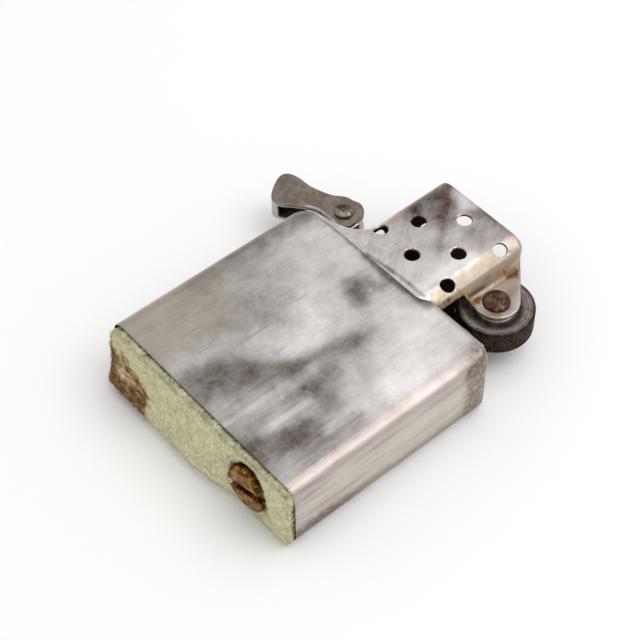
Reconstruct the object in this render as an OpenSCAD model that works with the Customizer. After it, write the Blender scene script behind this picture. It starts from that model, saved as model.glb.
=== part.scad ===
// Inside unit of a windproof petrol lighter, lying on its back.
// +X points to the flint wheel, +Y runs along the unit to the windscreen,
// and +Z points out of the broad front face.
// The origin is the centre of the flat back face that the unit rests on.

/* [Tank] */
// Width of the tank across its two narrow sides
body_w = 35.6; // [33:0.1:40]
// Thickness of the tank, from back face to front face
body_t = 10.7; // [10:0.1:12.5]
// Length of the tank, from its open end to the deck
body_len = 32.4; // [30:0.1:40]
// Radius of the tank's four long edges
edge_r = 2.2; // [1.6:0.1:3.5]
// Sheet thickness of the tank's shell
shell_wall = 0.5; // [0.4:0.05:0.7]
// Radius of the shoulder beside the cam
shoulder_r = 3.2; // [2:0.1:4]
// Radius of the corner beside the flint wheel
corner_r = 2; // [1:0.1:3.2]
// Distance from the deck down to the seam of the windscreen's apron
seam_drop = 1; // [0.6:0.1:2]
// Thickness of the deck plate
deck_sheet = 0.4; // [0.3:0.05:0.6]

/* [Windscreen] */
// Width of the windscreen's chimney
screen_w = 16.85; // [15:0.05:18]
// Distance of the chimney's middle from the tank's middle, towards the cam
screen_shift = 0.575; // [0:0.025:1.5]
// Height of the windscreen above the deck
screen_h = 16.2; // [14.8:0.1:19]
// Set-in of the windscreen behind the tank's broad faces
screen_step = 0.1; // [0.05:0.01:0.2]
// Corner radius of the closed side, beside the cam
closed_r = 2.3; // [2:0.1:4]
// Corner radius of the open side, beside the wheel
open_r = 3.3; // [2.5:0.1:4]
// Radius of the fillet where the apron flares into the chimney
foot_r = 3.8; // [2:0.1:4]
// Rise of the apron's shoulder before that fillet
foot_rise = 0.5; // [0.3:0.05:1.2]
// Diameter of the air holes
air_hole_d = 2.1; // [1.6:0.1:2.4]
// Distance from the middle air hole to the one on the open bend, along the sheet
air_pitch_open = 6.75; // [5.5:0.05:7]
// Distance from the lowest row's middle air hole to the one on the closed bend
air_pitch_low = 6.1; // [5.5:0.05:7]
// Distance from the top row's middle air hole to the one on the closed bend
air_pitch_top = 8.9; // [6:0.05:9]
// Height of the opening at the foot of the closed side, for the cam's leaf
arch_h = 6.1; // [3:0.1:6.5]
// Width of that opening
arch_w = 5.8; // [3.4:0.1:5.8]
// Distance between air holes in the row of two
air_pitch_two = 7.6; // [5:0.1:8]
// Distance between the rows of air holes
air_row_pitch = 4.72; // [4:0.02:5]
// Height of the first row of air holes above the deck
air_first_row = 3.55; // [3:0.05:4.5]

/* [Flint wheel] */
// Distance of the wheel's axle from the tank's middle
wheel_x = 10.3; // [10:0.05:11]
// Diameter over the wheel's teeth
wheel_d = 10.5; // [9.8:0.1:11]
// Thickness of the toothed rim
wheel_w = 3.45; // [2.8:0.05:3.8]
// Number of teeth on the rim
wheel_teeth = 60; // [40:1:72]
// Depth of the teeth
tooth_depth = 0.3; // [0.15:0.05:0.4]
// Diameter of the wheel's hub
hub_d = 4.6; // [3.6:0.1:5.6]
// Diameter of the rivet that carries the wheel
axle_d = 2; // [1.6:0.1:2.6]
// Diameter of that rivet's heads
axle_head_d = 3.95; // [3.2:0.05:4.6]
// Height of that rivet's heads
axle_head_h = 0.5; // [0.3:0.05:0.8]
// Outer radius of the ears that hold the wheel
ear_r = 3; // [2.8:0.1:3.4]

/* [Cam] */
// Distance of the cam's pivot from the tank's cam side
cam_inset = 2.5; // [2.2:0.1:3.2]
// Height of the cam's pivot above the deck
cam_rise = 4.3; // [4.2:0.1:5.5]
// Width of the folded cam over both of its cheeks
cam_w = 3; // [2.6:0.1:3.6]
// Sheet thickness of the cam
cam_sheet = 0.45; // [0.3:0.05:0.6]
// Distance from the pivot to the flats of the cam's heel
heel_flat = 2.5; // [2.4:0.05:2.6]
// Swing of the cam from open to shut, in degrees
cam_swing = 112; // [90:1:115]
// Diameter of the cam's rivet
cam_pin_d = 1.5; // [1.2:0.1:1.8]
// Diameter of the cam rivet's heads
cam_head_d = 2.95; // [2.4:0.05:3.4]
// Thickness of the leaf spring that holds the cam
leaf_t = 0.3; // [0.2:0.02:0.4]

/* [Flint feed] */
// Outer diameter of the flint tube
tube_d = 4.2; // [4:0.1:4.8]
// Bore of the flint tube
tube_bore = 2.6; // [2.5:0.05:2.8]
// Height of the flint tube above the deck
tube_stand = 1.8; // [1.4:0.1:2.2]
// Gap between the tube's top and the wheel
tube_gap = 0.95; // [0.6:0.05:1.4]
// Diameter of the flint
flint_d = 2.4; // [2.2:0.05:2.4]
// Length of the flint
flint_len = 5; // [3:0.1:6]
// Diameter over the feed spring
spring_d = 2.2; // [2:0.05:2.3]
// Wire thickness of the feed spring
spring_wire = 0.4; // [0.3:0.02:0.44]
// Number of curls in the feed spring
spring_curls = 25; // [18:1:26]
// Length of the spring's tip piece
tip_len = 1.5; // [1:0.1:2.5]
// Diameter of the screw's head
screw_head_d = 6.5; // [5.6:0.1:6.8]
// Thickness of the screw's head
screw_head_h = 1.25; // [1:0.05:1.8]
// Number of notches round the screw's head
screw_notches = 40; // [24:1:48]
// Width of the coin slot
slot_w = 1.2; // [0.8:0.05:1.6]
// Diameter of the screw's shank
shank_d = 3.1; // [2.9:0.05:3.3]
// Length of the screw's shank
shank_len = 3.8; // [2.5:0.1:5]

/* [Wick and packing] */
// Diameter of the wick
wick_d = 3; // [2.4:0.1:3.4]
// Distance of the wick from the tank's middle, towards the cam
wick_shift = 1.1; // [0:0.1:2]
// Height of the wick's tip above the deck
wick_stand = 10.3; // [6:0.1:12]
// Distance between the wick's runs in the packing
wick_pitch = 6; // [5.4:0.1:6.2]
// Depth of the wick's first run below the deck
wick_first_run = 6.3; // [6:0.1:7]

/* [Felt] */
// Depth of the felt pad inside the shell
felt_depth = 1.4; // [1:0.1:2.5]
// Height of the felt's edge outside the shell
felt_edge = 0.9; // [0.4:0.1:1.5]
// Further height of the felt's crown
felt_crown = 1; // [0.5:0.1:1.6]
// Distance from the flint screw to the crease where the felt lifts
crease_gap = 5.1; // [4.6:0.1:7]
// Clearance round the screw's head in the felt
screw_hole_gap = 0.4; // [0.3:0.05:0.8]

/* [Hidden] */
$fn = 64;
over = 1;                 // how far a cutting tool runs past what it cuts
fit_gap = 0.02;           // clearance of pieces that are pressed or riveted together
run_gap = 0.05;           // clearance of a shaft in its bore
soft_gap = 0.15;          // clearance round felt, packing and wick

mid_z = body_t / 2;
deck_y = body_len / 2;
open_y = -body_len / 2;
cap_y = deck_y - max(shoulder_r, corner_r);
seam_y = deck_y - seam_drop;
seam_in = 0.4;            // where the shell's edge starts to rise, inside the open side's bend
seam_out = 0.8;           // where that edge reaches the deck, outside the chimney
sheet = shell_wall - screen_step;
inner_w = body_w - 2 * shell_wall;
inner_t = body_t - 2 * shell_wall;
inner_r = edge_r - shell_wall;
top_y = deck_y + screen_h;

screen_left = -screen_shift - screen_w / 2;
screen_right = -screen_shift + screen_w / 2;
screen_back = screen_step;
screen_front = body_t - screen_step;
hole_mid_x = -wick_shift;

wheel_r = wheel_d / 2;
wheel_y = deck_y + tube_stand + tube_gap + wheel_r;
ear_gap = 0.38;           // clearance between the wheel's rim and each ear
ear_in = wheel_w / 2 + ear_gap;
ear_out = ear_in + sheet;
ear_shift = 0.4;          // the ear's round end sits a little inside the axle

cam_x = -body_w / 2 + cam_inset;
cam_y = deck_y + cam_rise;
heel_r = 1.1 * heel_flat;
leaf_x = cam_x + heel_flat + run_gap;
leaf_rise = 1.6;          // how far the leaf stands above the cam's pivot
leaf_bend = 0.9;          // radius of the leaf's two bends
leaf_gap = 0.3;           // distance from the leaf's foot to the chimney

head_y = open_y - felt_edge - felt_crown + 0.05;
tube_y = head_y + screw_head_h + run_gap;
shank_y = head_y + screw_head_h + shank_len;
flint_top = wheel_y - wheel_r - run_gap;
flint_y = flint_top - flint_len;
tip_y = flint_y - run_gap - tip_len;
nipple_len = 1;
nipple_r = 0.6;
coil_r = (spring_d - spring_wire) / 2;
coil_y0 = shank_y + spring_wire / 2 + fit_gap;
coil_y1 = tip_y - spring_wire / 2 - fit_gap;
coil_pitch = (coil_y1 - coil_y0) / spring_curls;

wick_r = wick_d / 2;
wick_top = deck_y + wick_stand;
bend_r = wick_pitch / 2;
run_y = [for (i = [0:3]) deck_y - wick_first_run - i * wick_pitch];
packing_left = -inner_w / 2 + 2 * soft_gap;
packing_right = wheel_x - tube_d / 2 - 2 * soft_gap;
turn_left = packing_left + bend_r + wick_r;
turn_right = packing_right - bend_r - wick_r;
pad_r = bend_r - wick_r - soft_gap;
pad_corner = 0.9 * pad_r;
felt_in = open_y + felt_depth;
felt_left = -inner_w / 2 + 0.4;
crease_x = wheel_x - crease_gap;

// An outline in X and Z, carried along Y from one height to another
module along_y(y0, y1) {
    translate([0, y1, 0])
        rotate([90, 0, 0])
            linear_extrude(y1 - y0)
                children();
}

// An outline in X and Y, carried along Z
module along_z(z0, z1) {
    translate([0, 0, z0])
        linear_extrude(z1 - z0)
            children();
}

// A cylinder along Y
module rod_y(r, y0, y1, x = 0, z = mid_z) {
    translate([x, y0, z])
        rotate([-90, 0, 0])
            cylinder(r = r, h = y1 - y0);
}

// A box-like outline between two corners, with one radius on its left corners
// and another on its right corners
module round_box(x0, x1, y0, y1, rl, rr) {
    for (y = [y0 + rl, y1 - rl]) translate([x0 + rl, y]) circle(rl);
    for (y = [y0 + rr, y1 - rr]) translate([x1 - rr, y]) circle(rr);
    translate([x0 + rl, y0]) square([x1 - x0 - rl - rr, y1 - y0]);
    translate([x0, y0 + rl]) square([rl, y1 - y0 - 2 * rl]);
    translate([x1 - rr, y0 + rr]) square([rr, y1 - y0 - 2 * rr]);
}

// The tank's cross-section, drawn in by an inset
module tank_section(inset = 0) {
    round_box(-body_w / 2 + inset, body_w / 2 - inset, inset, body_t - inset,
              edge_r - inset, edge_r - inset);
}

// The tank seen from the front, with its two round upper corners, drawn in by an inset
module tank_outline(inset = 0) {
    x0 = -body_w / 2 + inset;
    x1 = body_w / 2 - inset;
    y1 = deck_y - inset;
    rl = shoulder_r - inset;
    rr = corner_r - inset;
    translate([x0 + rl, y1 - rl]) circle(rl);
    translate([x1 - rr, y1 - rr]) circle(rr);
    translate([x0 + rl, open_y]) square([x1 - x0 - rl - rr, y1 - open_y]);
    translate([x0, open_y]) square([rl, y1 - rl - open_y]);
    translate([x1 - rr, open_y]) square([rr, y1 - rr - open_y]);
}

// The upper edge of the shell's broad faces: low under the windscreen's apron,
// and rising to the deck beside the wheel
function ease(t) = t * t * (3 - 2 * t);
seam_x0 = screen_right - open_r + seam_in;
seam_x1 = screen_right + seam_out;
function seam_at(t) = [seam_x0 + t * (seam_x1 - seam_x0), seam_y + seam_drop * ease(t)];
module below_seam() {
    polygon([
        [-body_w, open_y - over],
        [-body_w, seam_y],
        for (i = [0:8]) seam_at(i / 8),
        [seam_x1, deck_y + over],
        [body_w, deck_y + over],
        [body_w, open_y - over]
    ]);
}

// The block that the deck cap fills, between the shell's broad faces
module cap_block() {
    intersection() {
        along_z(shell_wall, body_t - shell_wall)
            intersection() {
                tank_outline();
                union() {
                    translate([-body_w, deck_y - shoulder_r]) square([body_w, body_len]);
                    translate([0, deck_y - corner_r]) square([body_w, body_len]);
                    translate([-inner_w / 2, cap_y]) square([inner_w, body_len]);
                }
            }
        along_y(open_y, deck_y + over) tank_section();
    }
}

module tank_shell() {
    color("#b3aaa8")
        difference() {
            intersection() {
                along_y(open_y, deck_y) tank_section();
                along_z(-over, body_t + over)
                    intersection() {
                        tank_outline();
                        below_seam();
                    }
            }
            along_y(open_y - over, deck_y + over) tank_section(shell_wall);
            cap_block();
        }
}

// The deck is a drawn cap: its ends turn down as the shoulders,
// and its long edges turn down as skirts inside the shell
module top_plate() {
    color("#a39b98")
        difference() {
            cap_block();
            intersection() {
                along_z(shell_wall + deck_sheet, body_t - shell_wall - deck_sheet)
                    tank_outline(deck_sheet);
                along_y(cap_y - over, deck_y) tank_section(shell_wall + deck_sheet / 2);
            }
            rod_y(wick_r + soft_gap, cap_y, deck_y + over, -wick_shift);
            rod_y(tube_d / 2 + fit_gap, cap_y, deck_y + over, wheel_x);
        }
}

// The chimney's wall, cut open between the ears
module screen_section() {
    difference() {
        round_box(screen_left, screen_right, screen_back, screen_front, closed_r, open_r);
        round_box(screen_left + sheet, screen_right - sheet, screen_back + sheet,
                  screen_front - sheet, closed_r - sheet, open_r - sheet);
        translate([screen_right - open_r, mid_z - ear_in]) square([open_r + over, 2 * ear_in]);
    }
}

// The flat apron below the chimney: the strip above the seam, the shoulder,
// and the fillet that flares into the chimney's closed side
foot_x = screen_left + closed_r / 7 - foot_r;
foot_y = deck_y + foot_rise + foot_r;
module apron_outline() {
    intersection() {
        union() {
            tank_outline();
            polygon([
                [-body_w / 2 + shoulder_r, deck_y - over],
                [-body_w / 2 + shoulder_r, deck_y],
                for (a = [258:6:360]) [foot_x + foot_r * cos(a), foot_y + foot_r * sin(a)],
                [screen_left + closed_r, foot_y + over],
                [screen_left + closed_r, deck_y - over]
            ]);
        }
        translate([-body_w / 2, seam_y + 2 * run_gap])
            square([body_w / 2 + screen_right - open_r, screen_h]);
    }
}

// The opening at the foot of the closed side, with two round corners
arch_r = arch_w / 4;
module arch() {
    translate([screen_left - over, 0, mid_z])
        rotate([90, 0, 90])
            linear_extrude(closed_r + over) {
                translate([deck_y - over, -arch_w / 2]) square([over + arch_h - arch_r, arch_w]);
                translate([deck_y - over, arch_r - arch_w / 2])
                    square([over + arch_h, arch_w - 2 * arch_r]);
                for (side = [-1, 1])
                    translate([deck_y + arch_h - arch_r, side * (arch_w / 2 - arch_r)])
                        circle(arch_r);
            }
}

// An ear: a round end about the axle, an edge that slants up to the chimney,
// and a level lower edge
module ear_outline() {
    x = wheel_x - ear_shift;
    root = screen_right - 0.8 * sheet;
    slant = x + ear_r * cos(45) - root;
    translate([x, wheel_y]) circle(ear_r);
    polygon([
        [root, wheel_y - ear_r],
        [x, wheel_y - ear_r],
        [x, wheel_y],
        [x + ear_r * cos(45), wheel_y + ear_r * sin(45)],
        [root, wheel_y + ear_r * sin(45) + slant]
    ]);
}

// Where a hole lies that is marked out along the flat sheet before it is bent:
// its place in X and Z, and the tilt of the sheet there
flat_left = screen_left + closed_r - hole_mid_x;
flat_right = screen_right - open_r - hole_mid_x;
function bend_angle(s) =
    s < flat_left ? (s - flat_left) / closed_r * 180 / PI :
    s > flat_right ? (s - flat_right) / open_r * 180 / PI : 0;
function bend_x(s, r) = hole_mid_x
    + (s < flat_left ? flat_left : s > flat_right ? flat_right : s) + r * sin(bend_angle(s));
function bend_z(s, r) = screen_front - r + r * cos(bend_angle(s));
function bend_r_at(s) = s < 0 ? closed_r : open_r;

air_marks = [
    [-air_pitch_low, 0, air_pitch_open],
    [-air_pitch_two / 2, air_pitch_two / 2],
    [-air_pitch_top, 0, air_pitch_open]
];
module air_holes() {
    for (side = [0, 1])
        translate([0, 0, side * body_t])
            mirror([0, 0, side])
                for (row = [0:2])
                    for (s = air_marks[row])
                        translate([bend_x(s, bend_r_at(s)),
                                   deck_y + air_first_row + row * air_row_pitch,
                                   bend_z(s, bend_r_at(s))])
                            rotate([0, bend_angle(s), 0])
                                cylinder(d = air_hole_d, h = 3 * sheet, center = true);
}

module windscreen() {
    color("#a9a29c")
        difference() {
            union() {
                along_y(deck_y, top_y) screen_section();
                for (side = [0, 1])
                    translate([0, 0, side * body_t])
                        mirror([0, 0, side]) {
                            along_z(screen_back, screen_back + sheet) apron_outline();
                            along_z(mid_z - ear_out, mid_z - ear_in) ear_outline();
                        }
            }
            air_holes();
            arch();
            translate([wheel_x, wheel_y, -over])
                cylinder(d = axle_d + 2 * fit_gap, h = body_t + 2 * over);
        }
}

// One tooth of a ratchet edge: a steep face, then a slope up to the next tip
function ratchet(n, r, depth) = [
    for (i = [0:n - 1], k = [0, 1])
        let (a = (i + 0.2 * k) * 360 / n)
            (r - k * depth) * [cos(a), sin(a)]
];

// Half of the hollow that is turned into each face of the wheel, with its step
module face_groove() {
    rotate_extrude()
        polygon([
            [hub_d / 2, 0],
            [hub_d / 2, -0.45],
            [wheel_r * 0.62, -0.45],
            [wheel_r * 0.66, -0.25],
            [wheel_r * 0.78, -0.25],
            [wheel_r * 0.84, 0],
            [wheel_r * 0.84, over],
            [hub_d / 2, over]
        ]);
}

module flint_wheel() {
    hub = 2 * ear_in - 2 * run_gap;
    color("#3d332f")
        translate([wheel_x, wheel_y, mid_z])
            difference() {
                union() {
                    translate([0, 0, -wheel_w / 2])
                        linear_extrude(wheel_w)
                            polygon(ratchet(wheel_teeth, wheel_r, tooth_depth));
                    cylinder(d = hub_d, h = hub, center = true);
                }
                for (side = [0, 1])
                    mirror([0, 0, side])
                        translate([0, 0, wheel_w / 2]) face_groove();
                cylinder(d = axle_d + 2 * run_gap, h = hub + over, center = true);
            }
}

// A rivet along Z with a low crowned head at each end
module rivet(shaft_d, head_d, head_h, grip) {
    r = head_d / 2;
    cylinder(d = shaft_d, h = grip + head_h, center = true);
    for (side = [0, 1])
        mirror([0, 0, side])
            translate([0, 0, grip / 2])
                rotate_extrude()
                    polygon([
                        [0, 0],
                        [r, 0],
                        [r, head_h * 0.4],
                        for (a = [15:15:90]) [r - 0.3 * r * sin(a) - 0.7 * r * (a - 15) / 75,
                                             head_h * (0.4 + 0.6 * sin(a))]
                    ]);
}

module wheel_rivet() {
    color("#5a4038")
        translate([wheel_x, wheel_y, mid_z])
            rivet(axle_d, axle_head_d, axle_head_h, 2 * ear_out + 2 * fit_gap);
}

// The cam's outline about its pivot, in the open position: the heel's flats come
// from a formula, and the rest is a smooth curve through a few points
function heel_at(a) = min(heel_r, heel_flat / cos(min(abs(a), 60)),
                          heel_flat / cos(min(abs(a - cam_swing), 60)));
heel = [for (a = [-78:6:108]) heel_at(a) * [cos(a), sin(a)]];
foot = [
    [-2, 2.05], [-3.7, 0.75], [-6.6, -0.25], [-8.9, -0.4], [-10.5, -0.95],
    [-11, -2.1], [-10.2, -3.85], [-8.9, -5.5], [-7.8, -6], [-6.5, -5.5],
    [-5.2, -4.3], [-3.3, -2.95], [-1.2, -2.75]
];
function curve(a, b, c, d, t) = 0.5 * (2 * b + (c - a) * t
    + (2 * a - 5 * b + 4 * c - d) * t * t + (3 * b - a - 3 * c + d) * t * t * t);
foot_line = concat([heel[len(heel) - 1]], foot, [heel[0]]);
foot_last = len(foot_line) - 1;
foot_smooth = [
    for (i = [0:foot_last - 1], k = [0:3])
        curve(foot_line[max(i - 1, 0)], foot_line[i], foot_line[i + 1],
              foot_line[min(i + 2, foot_last)], k / 4)
];
cam_points = concat(heel, [for (i = [1:len(foot_smooth) - 1]) foot_smooth[i]]);

// The spine of the fold follows the outline from beside the heel to the nose
spine = [for (i = [3:38]) foot_smooth[i]];
function inward(p, i) =
    let (d = p[min(i + 1, len(p) - 1)] - p[max(i - 1, 0)], n = norm(d))
        p[i] + cam_sheet * [-d[1], d[0]] / n;

module cam() {
    color("#7d756e")
        translate([cam_x, cam_y, mid_z])
            difference() {
                union() {
                    for (side = [0, 1])
                        mirror([0, 0, side])
                            translate([0, 0, cam_w / 2 - cam_sheet])
                                linear_extrude(cam_sheet)
                                    polygon(cam_points);
                    translate([0, 0, -cam_w / 2])
                        linear_extrude(cam_w)
                            polygon(concat(spine, [for (i = [len(spine) - 1:-1:0])
                                                   inward(spine, i)]));
                }
                cylinder(d = cam_pin_d + 2 * run_gap, h = cam_w + over, center = true);
            }
}

module cam_rivet() {
    color("#6b5548")
        translate([cam_x, cam_y, mid_z])
            rivet(cam_pin_d, cam_head_d, axle_head_h, cam_w + 2 * run_gap);
}

// The bracket is a small channel on the deck, and its two lugs stand inside the cam's fold
lug_out = cam_w / 2 - cam_sheet - run_gap;
lug_t = 0.4;
lug_r = 1.6;
bracket_x0 = -body_w / 2 + shoulder_r - 0.1;
bracket_x1 = leaf_x - 0.2;
module cam_bracket() {
    color("#8d8580")
        difference() {
            union() {
                for (side = [0, 1])
                    translate([0, 0, mid_z])
                        mirror([0, 0, side])
                            translate([0, 0, lug_out - lug_t])
                                linear_extrude(lug_t) {
                                    translate([cam_x, cam_y]) circle(lug_r);
                                    polygon([
                                        [bracket_x0, deck_y],
                                        [cam_x - lug_r, cam_y],
                                        [cam_x + lug_r, cam_y],
                                        [bracket_x1, deck_y]
                                    ]);
                                }
                translate([bracket_x0, deck_y, mid_z - lug_out])
                    cube([bracket_x1 - bracket_x0, lug_t, 2 * lug_out]);
            }
            translate([cam_x, cam_y, -over])
                cylinder(d = cam_pin_d + 2 * fit_gap, h = body_t + 2 * over);
        }
}

// A leaf that stands on the deck beside the bracket and bears on the cam's heel
leaf_w = cam_w - 0.3;
leaf_foot = screen_left - leaf_gap;
leaf_top = cam_y + leaf_rise;
module cam_spring() {
    color("#8f8374")
        along_z(mid_z - leaf_w / 2, mid_z + leaf_w / 2) {
            translate([leaf_x + leaf_bend, deck_y])
                square([leaf_foot - leaf_x - leaf_bend, leaf_t]);
            translate([leaf_x, deck_y + leaf_bend])
                square([leaf_t, leaf_top - deck_y - leaf_bend]);
            intersection() {
                translate([leaf_x + leaf_bend, deck_y + leaf_bend])
                    difference() {
                        circle(leaf_bend);
                        circle(leaf_bend - leaf_t);
                    }
                translate([leaf_x, deck_y]) square(leaf_bend);
            }
            intersection() {
                translate([leaf_x + leaf_bend, leaf_top])
                    difference() {
                        circle(leaf_bend);
                        circle(leaf_bend - leaf_t);
                    }
                translate([leaf_x, leaf_top]) square(leaf_bend);
            }
        }
}

module flint_tube() {
    color("#a08850")
        difference() {
            rod_y(tube_d / 2, tube_y, deck_y + tube_stand, wheel_x);
            rod_y(tube_bore / 2, tube_y - over, top_y, wheel_x);
            rod_y(shank_d / 2 + run_gap, tube_y - over, shank_y + run_gap, wheel_x);
        }
}

module flint() {
    color("#4a4846")
        rod_y(flint_d / 2, flint_y, flint_top, wheel_x);
}

// A tube of round wire along a helix, as one closed surface
coil_sides = 6;
coil_steps = 8;
coil_rings = spring_curls * coil_steps;
function coil_point(i) =
    let (a = i * 360 / coil_steps)
        [wheel_x + coil_r * cos(a), coil_y0 + coil_pitch * i / coil_steps, mid_z + coil_r * sin(a)];
function coil_ring(i) =
    let (a = i * 360 / coil_steps)
        [for (k = [0:coil_sides - 1])
            let (b = k * 360 / coil_sides)
                coil_point(i) + spring_wire / 2 * (cos(b) * [cos(a), 0, sin(a)] + sin(b) * [0, 1, 0])];
coil_gap = coil_pitch - spring_wire;
echo(least_gap_of_spring = coil_gap);

module flint_spring() {
    color("#9a9488")
        polyhedron(
            points = [for (i = [0:coil_rings]) each coil_ring(i)],
            faces = concat(
                [[for (k = [0:coil_sides - 1]) k]],
                [for (i = [0:coil_rings - 1], k = [0:coil_sides - 1], half = [0, 1])
                    let (a = i * coil_sides + k,
                         b = i * coil_sides + (k + 1) % coil_sides)
                        half == 0 ? [a, a + coil_sides, b] : [b, a + coil_sides, b + coil_sides]],
                [[for (k = [coil_sides - 1:-1:0]) coil_rings * coil_sides + k]]
            ));
}

module spring_tip() {
    color("#a8874a") {
        rod_y(flint_d / 2 - run_gap, tip_y, tip_y + tip_len, wheel_x);
        rod_y(nipple_r, tip_y - nipple_len, tip_y, wheel_x);
    }
}

module flint_screw() {
    color("#8a5a2c")
        difference() {
            union() {
                translate([wheel_x, head_y, mid_z])
                    rotate([-90, 0, 0])
                        linear_extrude(screw_head_h)
                            polygon(ratchet(screw_notches, screw_head_d / 2, 0.18));
                rod_y(shank_d / 2, head_y + screw_head_h, shank_y, wheel_x);
                rod_y(nipple_r, shank_y, shank_y + nipple_len, wheel_x);
            }
            translate([wheel_x - slot_w / 2, head_y - over, mid_z - screw_head_d])
                cube([slot_w, over + 0.7, 2 * screw_head_d]);
        }
}

// The wick stands in the windscreen, passes the deck and runs to and fro in the packing
module wick_bend(x, y, a0, sweep, r) {
    translate([x, y, mid_z])
        rotate([0, 0, a0])
            rotate_extrude(angle = sweep)
                translate([bend_r, 0])
                    circle(r);
}

module wick_run(x0, x1, y, r) {
    translate([x0, y, mid_z])
        rotate([0, 90, 0])
            cylinder(r = r, h = x1 - x0);
}

// The stretch from the tip down to the first run, at any radius
module wick_rise(r) {
    rod_y(r, run_y[0] + bend_r, wick_top, -wick_shift);
    wick_bend(-wick_shift - bend_r, run_y[0] + bend_r, -90, 90, r);
    wick_run(turn_left, -wick_shift - bend_r, run_y[0], r);
}

module wick() {
    color("#cfc7b0") {
        wick_rise(wick_r);
        wick_bend(turn_left, run_y[1] + bend_r, 90, 180, wick_r);
        wick_run(turn_left, turn_right, run_y[1], wick_r);
        wick_bend(turn_right, run_y[2] + bend_r, -90, 180, wick_r);
        wick_run(turn_left, turn_right, run_y[2], wick_r);
        wick_bend(turn_left, run_y[3] + bend_r, 90, 180, wick_r);
        wick_run(turn_left, turn_right, run_y[3], wick_r);
    }
}

// A wad of packing between two heights, with round ends where the wick turns round it
module wad(x0, x1, y0, y1, rl, rr) {
    intersection() {
        along_z(shell_wall + 2 * soft_gap, body_t - shell_wall - 2 * soft_gap)
            round_box(x0, x1, y0, y1, rl, rr);
        along_y(y0, y1) tank_section(shell_wall + 2 * soft_gap);
    }
}

wad_edge = 1;             // radius of a wad's corner that nothing turns round
cap_in = shell_wall + deck_sheet + soft_gap;
function above(i) = run_y[i] + wick_r + soft_gap;
function below(i) = run_y[i] - wick_r - soft_gap;

module packing_top() {
    color("#e4e0d2")
        difference() {
            intersection() {
                union() {
                    wad(packing_left, packing_right, above(0), deck_y, wad_edge, wad_edge);
                    wad(turn_left, packing_right, above(1), deck_y, wad_edge, wad_edge);
                }
                along_z(cap_in, body_t - cap_in) tank_outline(cap_in);
            }
            wick_rise(wick_r + soft_gap);
        }
}

module packing_middle() {
    color("#dcd7c6")
        wad(packing_left, turn_right + pad_r, above(2), below(1), wad_edge, pad_corner);
}

module packing_lower() {
    color("#d8d3c0")
        wad(turn_left - pad_r, packing_right, above(3), below(2), pad_corner, wad_edge);
}

module packing_bottom() {
    color("#d9d3bd")
        wad(packing_left, packing_right, felt_in + 2 * soft_gap, below(3), wad_edge, wad_edge);
}

module packing_side() {
    color("#dbd6c5")
        wad(wheel_x + tube_d / 2 + 2 * soft_gap, inner_w / 2 - 2 * soft_gap,
            felt_in + 2 * soft_gap, cap_y - soft_gap, 0.8, 0.8);
}

// The felt's crowned cross-section along X: flat inside, and round outside
crown_r = (inner_t * inner_t / 4 + felt_crown * felt_crown) / (2 * felt_crown);
module felt(x0, x1) {
    intersection() {
        along_y(open_y - felt_edge - felt_crown - over, felt_in) tank_section(shell_wall + soft_gap);
        translate([x0, open_y - felt_edge - felt_crown + crown_r, mid_z])
            rotate([0, 90, 0])
                cylinder(r = crown_r, h = x1 - x0);
    }
}

module felt_base() {
    color("#bfc08f")
        difference() {
            felt(crease_x + soft_gap, body_w / 2);
            rod_y(screw_head_d / 2 + screw_hole_gap, open_y - 2 * felt_depth - felt_crown,
                  tube_y + run_gap, wheel_x);
            rod_y(tube_d / 2 + soft_gap, tube_y, felt_in + over, wheel_x);
        }
}

module felt_flap() {
    color("#c4c494")
        felt(felt_left, crease_x - soft_gap);
}

tank_shell();
top_plate();
windscreen();
flint_wheel();
wheel_rivet();
cam();
cam_rivet();
cam_bracket();
cam_spring();
flint_tube();
flint();
flint_spring();
spring_tip();
flint_screw();
wick();
packing_top();
packing_middle();
packing_lower();
packing_bottom();
packing_side();
felt_base();
felt_flap();
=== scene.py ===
# %% [markdown]
# # The inside unit of a windproof petrol lighter
# This script dresses a finished CAD model of an old pocket lighter's inside unit: a steel tank
# with a felt bottom, a windscreen pierced with air holes, a toothed flint wheel and a cam.
# Each step first says what the real piece is and why it is made this way.

# %% Load the frame
import math

import bmesh
import bpy
import numpy as np
from mathutils import Matrix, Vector
from mathutils.geometry import delaunay_2d_cdt


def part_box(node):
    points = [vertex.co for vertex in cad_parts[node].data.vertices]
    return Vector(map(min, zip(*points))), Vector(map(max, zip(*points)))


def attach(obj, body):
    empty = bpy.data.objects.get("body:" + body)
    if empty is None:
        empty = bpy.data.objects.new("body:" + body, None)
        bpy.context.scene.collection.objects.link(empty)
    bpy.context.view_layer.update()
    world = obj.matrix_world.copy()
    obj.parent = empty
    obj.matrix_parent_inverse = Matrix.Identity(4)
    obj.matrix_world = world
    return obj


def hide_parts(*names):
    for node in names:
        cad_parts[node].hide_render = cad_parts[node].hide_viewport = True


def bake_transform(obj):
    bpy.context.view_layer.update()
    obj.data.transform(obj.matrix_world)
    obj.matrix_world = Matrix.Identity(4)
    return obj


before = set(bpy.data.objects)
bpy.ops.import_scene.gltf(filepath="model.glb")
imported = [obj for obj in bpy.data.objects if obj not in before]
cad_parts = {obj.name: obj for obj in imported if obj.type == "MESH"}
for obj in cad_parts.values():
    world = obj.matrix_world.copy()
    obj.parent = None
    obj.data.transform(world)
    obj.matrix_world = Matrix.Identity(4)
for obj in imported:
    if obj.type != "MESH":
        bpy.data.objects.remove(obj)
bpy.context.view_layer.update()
MM = 0.001

# %% [markdown]
# ## Sizes read from the frame
# Nothing here is typed twice: the tank's width, thickness and deck come from the boxes of the
# CAD nodes, and so do the axle, the cam's pivot and the screw's axis.


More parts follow.
